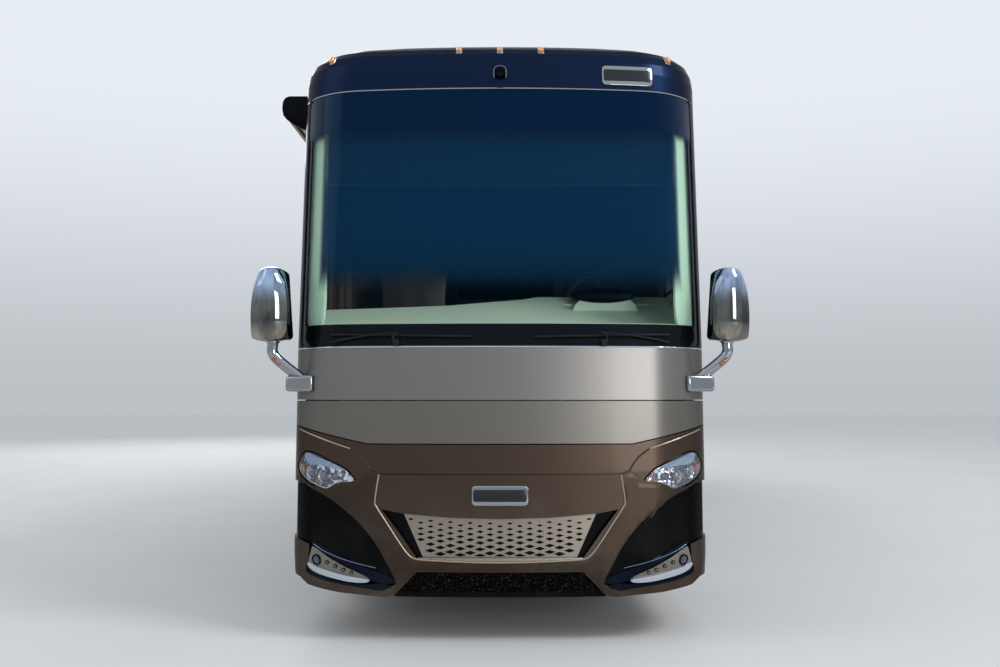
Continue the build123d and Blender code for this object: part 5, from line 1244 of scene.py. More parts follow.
class COACH_OT_wheels(bpy.types.Operator):
    """Builds the treaded tyres, polished rims with hand holes, nuts and hub covers"""
    bl_idname = "coach.wheels"
    bl_label = "Wheels"
    tyre_steps = 112

    def execute(self, context):
        sizes = context.scene.coach_wheels
        tyre_blank = self.tyre("tyre_blank", sizes.tyre_width / 2)
        front_rim = self.rim("front_rim_blank", 0.078, 0.10, sizes.hand_holes)
        deep_rim = self.rim("drive_rim_blank", -0.062, 0.16, sizes.hand_holes)
        for name, x, spread, rim in (
            ("front", 1.040, (0,), front_rim),
            ("drive", 0.905, (-0.170, 0.170), deep_rim),
            ("tag", 1.040, (0,), front_rim),
        ):
            for side, hand in HANDS:
                body = f"{name}_wheel_{hand}"
                inner, outer = (
                    (side * (x + shift), AXLES[name], WHEEL_HEIGHT) for shift in (spread[0], spread[-1])
                )
                for number, spot in enumerate((inner, outer)[:len(spread)], 1):
                    label = f"{name}_tyre_{hand}" + (f"_{number}" if len(spread) > 1 else "")
                    tyre = moved(twin(tyre_blank, label + "_tread"), spot)
                    dress(tyre, "tyre_rubber", body)
                    if number == 1:
                        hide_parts(f"{name}_tyre_{hand}")
                for blank, finish in zip(rim, ("rim_alloy", "mirror_chrome", "mirror_chrome")):
                    piece = twin(blank, f"{name}_{blank.name[:-6]}_{hand}")
                    if side < 0:
                        mirrored(piece)
                    dress(moved(piece, outer), finish, body)
                    if blank == rim[0]:
                        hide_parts(f"{name}_rim_{hand}")
                if len(spread) > 1:
                    piece = twin(rim[0], f"{name}_inner_rim_{hand}")
                    if side > 0:
                        mirrored(piece)
                    dress(moved(piece, inner), "rim_alloy", body)
        for blank in (tyre_blank, *front_rim, *deep_rim):
            bpy.data.objects.remove(blank)
        return {"FINISHED"}

    def tyre(self, name, half):
        """A tyre with grooves, shoulder blocks and ribs, at the origin."""
        wall = [
            (0.095, 0.2880), (0.112, 0.296), (0.128, 0.320), (0.143, 0.368), (0.149, 0.414), (0.146, 0.452),
            (0.139, 0.480), (0.130, 0.503), (0.117, 0.516), (0.102, 0.5205),
        ]
        profile = [(x * half / 0.15, radius) for x, radius in wall]
        for groove in (0.075, 0.030):
            profile += [(groove + 0.007, 0.523), (groove + 0.0055, 0.509)]
            profile += [(groove - 0.0055, 0.509), (groove - 0.007, 0.5235)]
        profile += [(-x, radius) for x, radius in reversed(profile)]
        tyre = lathe(name, profile, (0, 0, 0), "X", self.tyre_steps)
        activate(tyre)
        bpy.ops.object.mode_set(mode="EDIT")
        mesh = bmesh.from_edit_mesh(tyre.data)
        bpy.ops.mesh.select_all(action="DESELECT")
        for face in mesh.faces:
            centre = face.calc_center_median()
            radius, across = math.hypot(centre.y, centre.z), abs(centre.x)
            turn = (math.atan2(centre.z, centre.y) / (2 * math.pi)) % 1
            step = round(turn * self.tyre_steps - 0.5)
            shoulder = radius > 0.505 and 0.084 < across < 0.127 and step % 2 == 0
            rib = radius > 0.515 and 0.0371 < across < 0.068 and step % 3 == 0
            face.select_set(shoulder or rib)
        bmesh.update_edit_mesh(tyre.data)
        bpy.ops.mesh.inset(thickness=0.0025, depth=-0.008)
        bpy.ops.object.mode_set(mode="OBJECT")
        return smooth(tyre, 28)

    def rim(self, name, face, reach, hand_holes):
        """The rim with its barrel, the nuts and the hub cover, as three pieces at the origin."""
        profile = [
            (-0.126, 0.276), (-0.126, 0.302), (-0.116, 0.301), (-0.108, 0.2872), (0.108, 0.2872),
            (0.116, 0.301), (0.126, 0.303), (0.1285, 0.296), (0.124, 0.282), (0.112, 0.2765),
            (face + 0.026, 0.274), (face + 0.016, 0.266), (face + 0.010, 0.252), (face + 0.002, 0.200),
            (face, 0.186), (face, 0.118), (face - 0.012, 0.118), (face - 0.012, 0.196),
        ]
        if face < 0:
            profile += [(face - 0.010, 0.25), (face - 0.014, 0.262), (-0.112, 0.27)]
        else:
            profile += [(face - 0.008, 0.25), (face - 0.006, 0.268), (-0.112, 0.272)]
        dish = lathe(name.replace("rim", "wheel_rim"), profile, (0, 0, 0), "X", 80)
        spots = self.circle(face, 0.222, hand_holes, 0.5)
        holes = [drum("hand_hole", spot, 0.026, 0.12, "X", vertices=24) for spot in spots]
        smooth(rounded(bored(dish, holes), 0.0015, 1, 50), 35)
        nut = (
            (0.0, AXIS_POINT), (0.0, 0.022), (0.006, 0.022), (0.010, 0.0165), (0.040, 0.0155),
            (0.047, 0.010), (0.049, AXIS_POINT),
        )
        nuts = [lathe("nut", nut, spot, "X", 12) for spot in self.circle(face, 0.1675, 10, 0)]
        nuts = smooth(join(name.replace("rim", "wheel_nuts"), nuts), 40)
        cover = [
            (face - 0.012, AXIS_POINT), (face - 0.012, 0.128), (face + 0.006, 0.128), (face + 0.012, 0.116)
        ]
        for share, radius in ((0.2, 0.106), (0.55, 0.098), (0.72, 0.086), (0.8, 0.055), (0.83, AXIS_POINT)):
            cover.append((face + share * reach, radius))
        return dish, nuts, lathe(name.replace("rim", "hub_cover"), cover, (0, 0, 0), "X", 56)

    def circle(self, x, radius, count, start):
        """Evenly spaced places round the axle."""
        turns = [2 * math.pi * (step + start) / count for step in range(count)]
        return [(x, radius * math.cos(turn), radius * math.sin(turn)) for turn in turns]


class COACH_OT_windows(bpy.types.Operator):
    """Frames every side window and gives the wide ones a divider and a vent rail"""
    bl_idname = "coach.windows"
    bl_label = "Window Frames"

    def execute(self, context):
        wall, slide = HALF_WIDTH + 0.006, 1.318
        front, galley, wide = (1.960, 2.860), (2.050, 2.800), (2.050, 2.850)
        for name, side, body, x, panes in (
            ("driver", 1, "coach", wall, ((-5.960, -4.900, *front, 0.62), (5.150, 5.800, 2.150, 2.800, 0))),
            (
                "curb", -1, "coach", wall,
                (
                    (-5.160, -4.360, *front, 0), (0.300, 1.500, *galley, 0.5),
                    (2.250, 3.250, *galley, 0.5), (4.300, 5.300, *galley, 0),
                ),
            ),
            (
                "driver_slide", 1, "driver_slide", slide,
                ((-3.700, -2.300, *wide, 0.5), (-0.700, 0.700, *wide, 0.5), (2.800, 4.000, 2.150, 2.850, 0)),
            ),
            (
                "curb_slide", -1, "curb_slide", slide,
                ((-3.400, -2.200, *wide, 0.5), (-1.700, -0.700, *wide, 0)),
            ),
            ("entry_door", -1, "entry_door", wall, ((-5.890, -5.440, 1.650, 2.740, 0),)),
        ):
            x *= side
            for number, (low_y, high_y, low_z, high_z, divide) in enumerate(panes, 1):
                lap, turns = 0.014, (0, 22.5, 45, 67.5, 90)
                ring = curved_box(low_y - lap, high_y + lap, low_z - lap, high_z + lap, 0.075, turns)
                pieces = [tube("ring", [(x, y, z) for y, z in ring], 0.0085, True, resolution=1, order=2)]
                if divide:
                    y = low_y + divide * (high_y - low_y)
                    pieces.append(
                        brick("post", (x - 0.006, y - 0.014, low_z), (x + 0.006, y + 0.014, high_z), 0.003)
                    )
                    z = low_z + 0.3 * (high_z - low_z)
                    pieces.append(
                        brick("rail", (x - 0.005, low_y, z - 0.011), (x + 0.005, high_y, z + 0.011), 0.003)
                    )
                dress(join(f"{name}_window_frame_{number}", pieces), "window_frame", body)
        return {"FINISHED"}


class COACH_OT_side_trim(bpy.types.Operator):
    """Adds bay latches, marker lamps, arch lips, belt strips, gutters and the slides' trims"""
    bl_idname = "coach.side_trim"
    bl_label = "Side Trim"

    def execute(self, context):
        for side, hand in HANDS:
            face = side * HALF_WIDTH
            for number, low in enumerate((-3.34, -1.56, 0.22), 1):
                body = f"bay_door_{hand}_{number}"
                high = low + 1.70
                for name, inner, outer, start, end, bottom, top, edge, finish in (
                    ("latch", -0.004, 0.006, high - 0.20, high - 0.08, 0.995, 1.045, 0.008, "gloss_black"),
                    (
                        "paddle", 0.004, 0.011, high - 0.188, high - 0.092, 1.006, 1.034, 0.003,
                        "mirror_chrome",
                    ),
                    (
                        "rub_strip", -0.003, 0.008, low + 0.02, high - 0.02, 0.50, 0.525, 0.004,
                        "bright_bronze",
                    ),
                    ("edge_pull", -0.003, 0.006, low + 0.30, high - 0.30, 0.410, 0.432, 0.003, "gloss_black"),
                ):
                    corners = (face + inner, start, bottom), (face + outer, end, top)
                    piece = brick(f"{body}_{name}", *corners, edge, 3 if name == "latch" else 2)
                    dress(piece, finish, body)
            for number, axle in enumerate(AXLES.values(), 1):
                lip = self.arch_lip(f"arch_lip_{hand}_{number}", side * 1.291, axle)
                dress(lip, "wiper_black", "coach")
            for number, y in enumerate((-3.38, 0.18, 1.97, 5.2), 1):
                corners = (side * 1.286, y - 0.05, 1.155), (side * 1.298, y + 0.05, 1.178)
                lamp = brick(f"side_marker_{hand}_{number}", *corners, 0.005, 3)
                dress(lamp, "amber_lens" if number < 4 else "red_lens", "coach")
            belts = (("belt_moulding_driver", -6.05, 6.13),)
            if side < 0:
                belts = (("belt_front", -6.05, -6.02), ("belt_moulding_curb_rear", -5.32, 6.13))
            for name, start, end in belts:
                belt = brick(name, (side * 1.286, start, 1.186), (side * 1.296, end, 1.204), 0.004)
                dress(belt, "bright_bronze", "coach")
            gutter = brick(
                f"roof_gutter_{hand}", (side * 1.283, -5.79, 3.468), (side * 1.301, 6.14, 3.494), 0.006, 3
            )
            dress(gutter, "gloss_black", "coach")
        self.slide("driver_slide", 1, -4.282, 4.782)
        self.slide("curb_slide", -1, -3.932, -0.218)
        return {"FINISHED"}

    def arch_lip(self, name, x, axle):
        """The lip round a wheel arch, with its straight ends."""
        radius, foot = 0.600, 0.37
        points = []
        for turn in range(0, 181, 12):
            angle = math.radians(turn)
            points.append((x, axle + radius * math.cos(angle), WHEEL_HEIGHT + radius * math.sin(angle)))
        ends = (x, points[0][1], foot), (x, points[-1][1], foot)
        return tube(name, [ends[0], *points, ends[1]], 0.011, resolution=2)

    def slide(self, body, side, low, high):
        """A slide-out's trim, and the topper's roll and arms above it."""
        x = side * 1.313
        corners = ((low + 0.02, 1.348), (high - 0.02, 1.348), (high - 0.02, 3.252), (low + 0.02, 3.252))
        ring = []
        for (y, z), (next_y, next_z) in zip(corners, corners[1:] + corners[:1]):
            ring += [(x, y + (next_y - y) * share, z + (next_z - z) * share) for share in (0.004, 0.5, 0.996)]
        trim = tube(f"{body}_trim", ring, 0.009, True, resolution=1, order=2)
        dress(trim, "bright_bronze", body)
        centre, length = (side * 1.335, (low + high) / 2, 3.318), high - low - 0.1
        roll = drum(f"{body}_topper_roll", centre, 0.032, length, "Y", 0.004, 24)
        dress(roll, "topper_cloth", body)
        for number, y in enumerate((low + 0.035, high - 0.035), 1):
            corners = (side * 1.306, y - 0.014, 3.235), (side * 1.345, y + 0.014, 3.345)
            arm = brick(f"{body}_topper_arm_{number}", *corners, 0.006, 3)
            dress(arm, "gloss_black", body)


class COACH_OT_entry(bpy.types.Operator):
    """Adds the entry door's latch, grab rail and step treads, and the awning's caps, rail and saddles"""
    bl_idname = "coach.entry"
    bl_label = "Entry and Awning"

    def execute(self, context):
        face = -HALF_WIDTH
        plate = brick(
            "entry_latch_plate", (face - 0.008, -5.430, 1.36), (face + 0.002, -5.350, 1.54), 0.006, 3
        )
        dress(plate, "gloss_black", "entry_door")
        handle = brick(
            "entry_latch_handle", (face - 0.020, -5.422, 1.40), (face - 0.006, -5.362, 1.425), 0.005, 3
        )
        dress(handle, "mirror_chrome", "entry_door")
        for number, z in enumerate((1.475, 1.51), 1):
            key = drum(f"entry_lock_{number}", (face - 0.009, -5.39, z), 0.011, 0.01, "X", 0.002, 20)
            dress(key, "mirror_chrome", "entry_door")
        rail_y = -5.275
        rail = ((0.004, 1.55), (0.050, 1.565), (0.055, 1.65), (0.055, 2.20), (0.050, 2.285), (0.004, 2.30))
        rail = tube("entry_grab_rail", [(face - out, rail_y, z) for out, z in rail], 0.014, sides=12)
        dress(rail, "mirror_chrome", "coach")
        for number, z in enumerate((1.55, 2.30), 1):
            foot = drum(f"entry_rail_foot_{number}", (face - 0.004, rail_y, z), 0.026, 0.012, "X", 0.003, 24)
            dress(foot, "mirror_chrome", "coach")
        self.step(*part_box("entry_step"))
        self.awning(*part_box("awning"))
        return {"FINISHED"}

    def step(self, low, high):
        """The entry step's tread ribs and nosing."""
        ribs = []
        for number in range(8):
            x = -1.200 + number * 0.040
            start = (x - 0.006, low[1] + 0.042, high[2] - 0.002)
            end = (x + 0.006, high[1] - 0.042, high[2] + 0.002)
            ribs.append(brick("rib", start, end, 0.001, 1))
        dress(join("entry_step_ribs", ribs), "wiper_black", "entry_step")
        start = (low[0] - 0.004, low[1] + 0.005, low[2] + 0.004)
        end = (low[0] + 0.010, high[1] - 0.005, high[2] + 0.003)
        dress(brick("entry_step_nosing", start, end, 0.005, 3), "step_metal", "entry_step")

    def awning(self, low, high):
        """The awning's end caps, lead rail and saddles."""
        section = (
            (-1.2895, 3.286), (-1.2895, 3.528), (-1.468, 3.528), (-1.497, 3.516), (-1.513, 3.488),
            (-1.517, 3.440), (-1.508, 3.392), (-1.486, 3.366), (-1.440, 3.330), (-1.380, 3.300),
            (-1.336, 3.286),
        )
        for number, y in enumerate((low[1] - 0.004, high[1] - 0.028), 1):
            cap = outline_plate(f"awning_end_cap_{number}", [(x, y, z) for x, z in section], 0.032, 0.006, 3)
            shift = y + 0.016 - sum(vertex.co.y for vertex in cap.data.vertices) / len(cap.data.vertices)
            for vertex in cap.data.vertices:
                vertex.co.y += shift
            dress(cap, "gloss_black", "coach")
        lead = brick(
            "awning_lead_rail", (-0.022, low[1] + 0.04, -0.012), (0.022, high[1] - 0.04, 0.012), 0.006, 3
        )
        moved(lead, (-1.448, 0, 3.354), (0, math.radians(29), 0))
        dress(lead, "bright_bronze", "coach")
        for number, y in enumerate((low[1] + 0.9, (low[1] + high[1]) / 2, high[1] - 0.9), 1):
            saddle = brick(
                f"awning_saddle_{number}", (-1.344, y - 0.03, 3.286), (-1.291, y + 0.03, 3.302), 0.004
            )
            dress(saddle, "gloss_black", "coach")


class COACH_OT_roof(bpy.types.Operator):
    """Builds the moulded roof units, vents, receiver dome, skylight and rails"""
    bl_idname = "coach.roof"
    bl_label = "Roof"

    def execute(self, context):
        for number, y in enumerate((-2.6, 0.7, 4.2), 1):
            shroud = self.shroud(f"roof_unit_{number}", y)
            dress(shroud, "roof_shroud", "coach")
            if number == 1:
                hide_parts("roof_units")
            slats = []
            for side in (1, -1):
                for step in range(7):
                    z = 3.735 + step * 0.016
                    corners = (side * 0.335, y + 0.05, z), (side * 0.366, y + 0.43, z + 0.007)
                    slats.append(brick("slat", *corners, 0.002, 1))
            for step in range(8):
                z = 3.735 + step * 0.014
                slats.append(brick("slat", (-0.25, y + 0.500, z), (0.25, y + 0.529, z + 0.006), 0.002, 1))
            dress(join(f"roof_unit_louvres_{number}", slats), "wiper_black", "coach")
        for number, (x, y, z) in enumerate(((0.0, -4.4, 3.702), (0.45, 2.3, 3.698), (-0.35, 5.35, 3.698)), 1):
            for name, half, low, high, edge, segments, finish in (
                ("base", 0.20, -0.02, 0.03, 0.012, 3, "roof_shroud"),
                ("lid", 0.19, 0.028, 0.075, 0.028, 4, "smoke_lens"),
            ):
                corners = (x - half, y - half, z + low), (x + half, y + half, z + high)
                piece = brick(f"vent_{name}_{number}", *corners, edge, segments)
                dress(piece, finish, "coach")
        dish = (
            (0, AXIS_POINT), (0, 0.20), (0.02, 0.215), (0.06, 0.213), (0.12, 0.19), (0.17, 0.14),
            (0.198, 0.07), (0.206, AXIS_POINT),
        )
        dish = lathe("receiver_dome", dish, (0.0, 2.15, 3.702), "Z", 56)
        dress(dish, "roof_shroud", "coach")
        skylight = brick("bath_skylight", (-0.70, 3.05, 3.690), (-0.12, 3.60, 3.775), 0.045, 5)
        dress(skylight, "smoke_lens", "coach")
        bow = ((4.95, 3.66), (5.0, 3.72), (5.3, 3.735), (5.75, 3.72), (5.8, 3.64))
        for side, hand in HANDS:
            rail = tube(f"roof_rail_{hand}", [(side * 0.98, y, z) for y, z in bow], 0.012)
            dress(rail, "step_metal", "coach")
        return {"FINISHED"}

    def shroud(self, name, middle):
        """A roof unit's moulded cover, which slopes down at its front."""
        half_width, half_length, foot, height = 0.36, 0.525, 3.701, 0.22
        low = (-half_width, middle - half_length, foot)
        high = (half_width, middle + half_length, foot + height)
        shroud = subdivided(brick(name, low, high), 5)
        for vertex in shroud.data.vertices:
            spot = vertex.co
            up, back = (spot.z - foot) / height, (spot.y - middle) / half_length
            spot.x *= 1 - 0.13 * up**2
            spot.y = middle + half_length * back * (1 - 0.10 * up**2)
            spot.z -= 0.05 * up * max(0, -back - 0.2) + 0.015 * up * (spot.x / half_width) ** 2
        for vertex in domed(shroud).data.vertices:
            vertex.co.z = max(vertex.co.z, foot + 0.0005)
        return smooth(shroud, 50)


class COACH_OT_rear(bpy.types.Operator):
    """Builds the tail lamps, engine door louvres, latch, rear camera, mud flap and tail pipe tip"""
    bl_idname = "coach.rear"
    bl_label = "Rear"

    def execute(self, context):
        louvres = [self.louvre(0.998 + step * 0.042) for step in range(11)]
        dress(smooth(join("engine_door_louvres", louvres)), "gloss_black", "engine_door")
        latch = tail_plate(
            "engine_door_latch", curved_box(-0.07, 0.07, 0.68, 0.73, 0.012), 0.010, 0.012, 0.003
        )
        dress(latch, "mirror_chrome", "engine_door")
        recess = tail_plate("plate_recess", curved_box(-0.19, 0.19, 0.76, 0.92, 0.012), 0.006, 0.008, 0.003)
        dress(recess, "wiper_black", "engine_door")
        for side, hand in HANDS:
            for name, low_x, high_x, low_z, high_z, corner, proud, thickness, edge, finish in (
                (
                    "tail_lamp_housing_{}", 0.972, 1.118, 1.192, 2.008, 0.035, 0.004, 0.010, 0.003,
                    "gloss_black",
                ),
                ("tail_lamp_lens_{}_1", 0.99, 1.10, 1.22, 1.40, 0.028, 0.014, 0.014, 0.006, "red_lens"),
                ("tail_lamp_lens_{}_2", 0.99, 1.10, 1.42, 1.56, 0.028, 0.014, 0.014, 0.006, "amber_lens"),
                ("tail_lamp_lens_{}_3", 0.99, 1.10, 1.58, 1.70, 0.028, 0.014, 0.014, 0.006, "white_lens"),
                ("tail_lamp_lens_{}_4", 0.99, 1.10, 1.72, 1.98, 0.028, 0.014, 0.014, 0.006, "red_lens"),
                ("rear_reflector_{}", 0.99, 1.10, 0.80, 0.84, 0.012, 0.006, 0.008, 0.002, "red_lens"),
            ):
                outline = sided(curved_box(low_x, high_x, low_z, high_z, corner), side)
                piece = tail_plate(name.format(hand), outline, proud, thickness, edge)
                dress(piece, finish, "coach")
                if piece.name == "tail_lamp_lens_driver_1":
                    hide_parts("tail_lamps")
        for number, (x, z) in enumerate(
            ((-1.06, 3.56), (-0.22, 3.60), (0.0, 3.60), (0.22, 3.60), (1.06, 3.56)), 1
        ):
            y = tail_y(x, z)
            corners = (x - 0.035, y - 0.03, z - 0.012), (x + 0.035, y + 0.014, z + 0.012)
            dress(brick(f"rear_marker_{number}", *corners, 0.007, 3), "red_lens", "coach")
        y = tail_y(0.0, 3.38)
        camera = brick("rear_camera", (-0.055, y - 0.02, 3.345), (0.055, y + 0.035, 3.415), 0.015, 4)
        dress(camera, "gloss_black", "coach")
        eye = drum("rear_camera_eye", (0, y + 0.036, 3.372), 0.016, 0.006, "Y", 0.002, 24)
        dress(eye, "projector_glass", "coach")
        flap = slices(brick("mud_flap", (-1.10, 6.10, 0.18), (1.10, 6.112, 0.60), 0.003), 0, 0.1)
        for vertex in flap.data.vertices:
            vertex.co.y += 0.006 * math.sin(vertex.co.x * 9) * (0.6 - vertex.co.z)
        dress(flap, "tyre_rubber", "coach")
        hanger = brick("mud_flap_hanger", (-1.12, 6.09, 0.59), (1.12, 6.122, 0.63), 0.004)
        dress(hanger, "step_metal", "coach")
        tip = ((0.0, 0.052), (0.14, 0.056), (0.150, 0.060), (0.154, 0.056), (0.146, 0.051), (0.0, 0.047))
        tip = lathe("tail_pipe_tip", tip, (-0.52, 6.62, 0.64), "Y", 36)
        dress(tip, "mirror_chrome", "coach")
        return {"FINISHED"}

    def louvre(self, z):
        """One hooded slat of the engine door, bowed like the tail."""
        y = tail_y(0.0, z)
        slat = slices(brick("louvre", (-0.612, y - 0.010, z), (0.612, y + 0.010, z + 0.009)), 0, 0.08)
        for vertex in slat.data.vertices:
            if vertex.co.y > y and vertex.co.z < z + 0.005:
                vertex.co.z -= 0.009
            vertex.co.y += tail_y(vertex.co.x, z) - y
        return rounded(slat, 0.002, 1)


class COACH_OT_cockpit(bpy.types.Operator):
    """Builds the seats, steering wheel, instrument hood, pillar trims and the drawn blind"""
    bl_idname = "coach.cockpit"
    bl_label = "Cockpit"

    def execute(self, context):
        for side, hand in HANDS:
            self.seat(side * 0.7, hand)
        self.steering_wheel()
        hood = drum("instrument_hood", (0.69, -5.98, 2.11), 0.208, 0.26, "Y", 0.03, 48, 4)
        for vertex in hood.data.vertices:
            vertex.co.z = 2.11 + 0.24 * (vertex.co.z - 2.11)
        dress(hood, "gloss_black", "coach")
        screen = brick("dash_screens", (0.30, -5.86, 1.93), (0.46, -5.85, 2.04), 0.008, 3)
        dress(screen, "gloss_black", "coach")
        pillar = curved(
            [(1.205, 1.90), (1.095, 1.885), (1.085, 2.2), (1.10, 2.8), (1.12, 3.26), (1.20, 3.28)]
        )
        for side, hand in HANDS:
            trim = nose_plate(f"pillar_trim_{hand}", sided(pillar, side), -0.060, 0.02, 0.006)
            dress(trim, "pillar_lining", "coach")
        ledge = nose_plate(
            "dash_demist_ledge", curved_box(-1.17, 1.17, 1.79, 1.885, 0.03), -0.075, 0.02, 0.006
        )
        dress(ledge, "pillar_lining", "coach")
        header = brick("shade_header", (-1.16, -6.352, 3.285), (1.16, -6.30, 3.345), 0.012, 3)
        dress(header, "pillar_lining", "coach")
        self.blind()
        return {"FINISHED"}

    def seat(self, x, hand):
        """A front seat: pedestal, cushion, back, headrest and two armrests."""
        base = brick(f"seat_pedestal_{hand}", (x - 0.15, -4.95, 1.331), (x + 0.15, -4.55, 1.66), 0.03, 3)
        dress(base, "gloss_black", "coach")
        for name, half, front, back, low, high in (
            ("cushion", 0.28, -5.10, -4.56, 1.66, 1.85),
            ("back", 0.27, -4.60, -4.44, 1.82, 2.46),
            ("headrest", 0.15, -4.60, -4.47, 2.40, 2.56),
        ):
            piece = self.pad(f"seat_{name}_{hand}", (x - half, front, low), (x + half, back, high))
            if piece.name == "seat_cushion_driver":
                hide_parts("front_seats")
        for number, shift in enumerate((-0.30, 0.30), 1):
            low, high = (x + shift - 0.035, -4.98, 2.02), (x + shift + 0.035, -4.58, 2.10)
            self.pad(f"seat_armrest_{hand}_{number}", low, high)

    def pad(self, name, low, high):
        """A crowned cushion with sewn channels, whose sides pull in between its corners."""
        piece = subdivided(brick(name, low, high), 7)
        centre = [(a + b) / 2 for a, b in zip(low, high)]
        size = [(b - a) / 2 for a, b in zip(low, high)]
        thin = size.index(min(size))
        first, second = (axis for axis in range(3) if axis != thin)
        for vertex in piece.data.vertices:
            unit = [(vertex.co[axis] - centre[axis]) / size[axis] for axis in range(3)]
            fall = (1 - unit[first] ** 2) * (1 - unit[second] ** 2)
            channel = 0.10 * (math.cos(unit[first] * math.pi * 2.5) ** 8)
            vertex.co[thin] = centre[thin] + size[thin] * unit[thin] * (0.72 + 0.28 * fall - channel * fall)
            for axis, other in ((first, second), (second, first)):
                pull = 1 - 0.05 * (1 - unit[other] ** 2) * abs(unit[axis])
                vertex.co[axis] = centre[axis] + size[axis] * unit[axis] * pull
        return dress(smooth(domed(piece), 60), "seat_leather", "coach")

    def steering_wheel(self):
        """The wheel's rim, three spokes and hub, tilted onto its column."""
        deselect()
        bpy.ops.mesh.primitive_torus_add(
            major_radius=0.217, minor_radius=0.0145, major_segments=64, minor_segments=16
        )
        pieces = [smooth(place(added("rim")), 60)]
        for turn in (90, 210, 330):
            spoke = brick("spoke", (0.04, -0.017, -0.008), (0.208, 0.017, 0.008), 0.006, 3)
            pieces.append(moved(spoke, (0, 0, 0), (0, 0, math.radians(turn))))
        hub = [
            (-0.02, AXIS_POINT), (-0.02, 0.055), (0.0, 0.062), (0.012, 0.055), (0.018, 0.03),
            (0.020, AXIS_POINT),
        ]
        pieces.append(lathe("hub", hub, (0, 0, 0), "Z", 40))
        wheel = join("steering_wheel_rim", pieces)
        tilt = Vector((0, 0.8, 0.6)).to_track_quat("Z", "Y").to_matrix().to_4x4()
        wheel.matrix_world = Matrix.Translation((0.700, -5.5354, 2.1212)) @ tilt
        dress(place(wheel), "wheel_hide", "steering_wheel")
        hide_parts("steering_wheel")

    def blind(self):
        """The drawn cloth blind, hung from its header."""
        width, drop, y, top = 2.22, 0.49, -6.327, 3.292
        deselect()
        bpy.ops.mesh.primitive_grid_add(x_subdivisions=74, y_subdivisions=24, size=1)
        cloth = added("windscreen_blind")
        for vertex in cloth.data.vertices:
            x, down = vertex.co.x * width, (0.5 - vertex.co.y) * drop
            vertex.co = (x, y + 0.0012 * math.sin(x * 21) * down / drop, top - down)
        dress(place(cloth), "shade_fabric", "coach")
        bar = drum("blind_bottom_bar", (0, y, top - drop), 0.010, 2.24, "X", 0.002, 20)
        dress(bar, "pillar_lining", "coach")
        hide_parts("sun_shade")


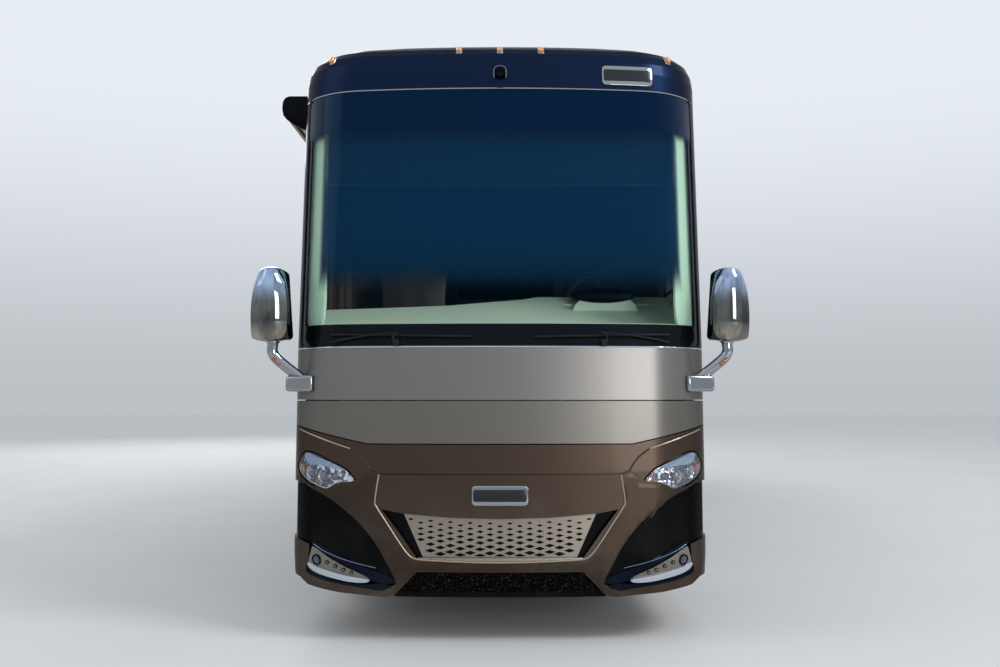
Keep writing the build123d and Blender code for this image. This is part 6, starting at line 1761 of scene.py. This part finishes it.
class COACH_OT_stage(bpy.types.Operator):
    """Adds the floor, the soft light and the camera"""
    bl_idname = "coach.stage"
    bl_label = "Stage"

    def execute(self, context):
        settings = context.scene.coach_stage
        deselect()
        bpy.ops.mesh.primitive_plane_add(size=120, location=(0, 0, 0))
        floor = added("floor_stage")
        material, tree, shader = new_material("pale_floor")
        tone = blend(tree, noise(tree, 0.6, 6), (0.62, 0.62, 0.62), (0.7, 0.7, 0.7))
        fill(tree, shader, Base_Color=tone, Roughness=0.85)
        floor.data.materials.append(material)
        self.sky(context.scene, settings.sky)
        for name, spot, aim, power, size in (
            ("key_light", (12, -13, 14), (0, -5, 1.5), 1400, 6),
            ("low_light", (7.0, -20.0, 3.2), (0, -6.5, 1.4), 520, 4),
            ("fill_light", (-13, -10, 10), (0, -5, 1.5), 150, 8),
            ("rear_light", (-8, 16, 12), (0, 4, 1.5), 900, 8),
        ):
            deselect()
            bpy.ops.object.light_add(type="AREA", location=spot)
            light = bpy.context.view_layer.objects.active
            light.name = name
            light.data.energy = power
            light.data.size = size
            light.rotation_euler = (Vector(aim) - Vector(spot)).to_track_quat("-Z", "Y").to_euler()
        deselect()
        bpy.ops.object.camera_add(
            location=(0, -HALF_LENGTH - settings.eye_distance, settings.eye_height),
            rotation=(math.pi / 2 + settings.tilt, 0, 0),
        )
        camera = bpy.context.view_layer.objects.active
        camera.data.lens = settings.lens
        camera.data.sensor_width = 36
        camera.data.clip_end = 200
        context.scene.camera = camera
        context.scene.view_settings.view_transform = "Standard"
        return {"FINISHED"}

    def sky(self, scene, level):
        """A world that lights the coach softly and looks pale to the camera, in gloss and through glass."""
        world = bpy.data.worlds.new("studio")
        scene.world = world
        world.use_nodes = True
        tree = world.node_tree
        ray = tree.nodes.new("ShaderNodeLightPath")
        seen = ray.outputs["Is Camera Ray"]
        for kind in ("Is Glossy Ray", "Is Transmission Ray"):
            seen = maths(tree, "MAXIMUM", seen, ray.outputs[kind])
        split = tree.nodes.new("ShaderNodeSeparateXYZ")
        tree.links.new(tree.nodes.new("ShaderNodeTexCoord").outputs["Generated"], split.inputs[0])
        low = blend(
            tree, remap(tree, split.outputs["Z"], -0.02, 0.30), (0.50, 0.53, 0.56), (0.80, 0.85, 0.90)
        )
        colour = blend(tree, seen, (0.9, 0.95, 1.0), low)
        strength = maths(tree, "MULTIPLY_ADD", seen, 1.0 - level, level)
        fill(tree, tree.nodes["Background"].inputs, Color=colour, Strength=strength)


class COACH_PT_panel(bpy.types.Panel):
    """Lists the steps that dress the coach"""
    bl_idname = "COACH_PT_panel"
    bl_label = "Motorhome"
    bl_space_type = "VIEW_3D"
    bl_region_type = "UI"
    bl_category = "Motorhome"

    def draw(self, context):
        for operator in OPERATORS:
            self.layout.operator(operator.bl_idname)


OPERATORS = (
    COACH_OT_finishes,
    COACH_OT_mask,
    COACH_OT_headlamps,
    COACH_OT_corner_lamps,
    COACH_OT_brow,
    COACH_OT_mirrors,
    COACH_OT_wheels,
    COACH_OT_windows,
    COACH_OT_side_trim,
    COACH_OT_entry,
    COACH_OT_roof,
    COACH_OT_rear,
    COACH_OT_cockpit,
    COACH_OT_stage,
)
GROUPS = (("coach_colours", CoachColours), ("coach_wheels", CoachWheels), ("coach_stage", CoachStage))


def register():
    for name, group in GROUPS:
        bpy.utils.register_class(group)
        setattr(bpy.types.Scene, name, PointerProperty(type=group))
    for operator in OPERATORS:
        bpy.utils.register_class(operator)
    bpy.utils.register_class(COACH_PT_panel)


def unregister():
    bpy.utils.unregister_class(COACH_PT_panel)
    for operator in reversed(OPERATORS):
        bpy.utils.unregister_class(operator)
    for name, group in reversed(GROUPS):
        delattr(bpy.types.Scene, name)
        bpy.utils.unregister_class(group)


def main():
    register()
    bpy.ops.coach.finishes()
    bpy.ops.coach.mask()
    bpy.ops.coach.headlamps()
    bpy.ops.coach.corner_lamps()
    bpy.ops.coach.brow()
    bpy.ops.coach.mirrors()
    bpy.ops.coach.wheels()
    bpy.ops.coach.windows()
    bpy.ops.coach.side_trim()
    bpy.ops.coach.entry()
    bpy.ops.coach.roof()
    bpy.ops.coach.rear()
    bpy.ops.coach.cockpit()
    bpy.ops.coach.stage()


if __name__ == "__main__":
    main()
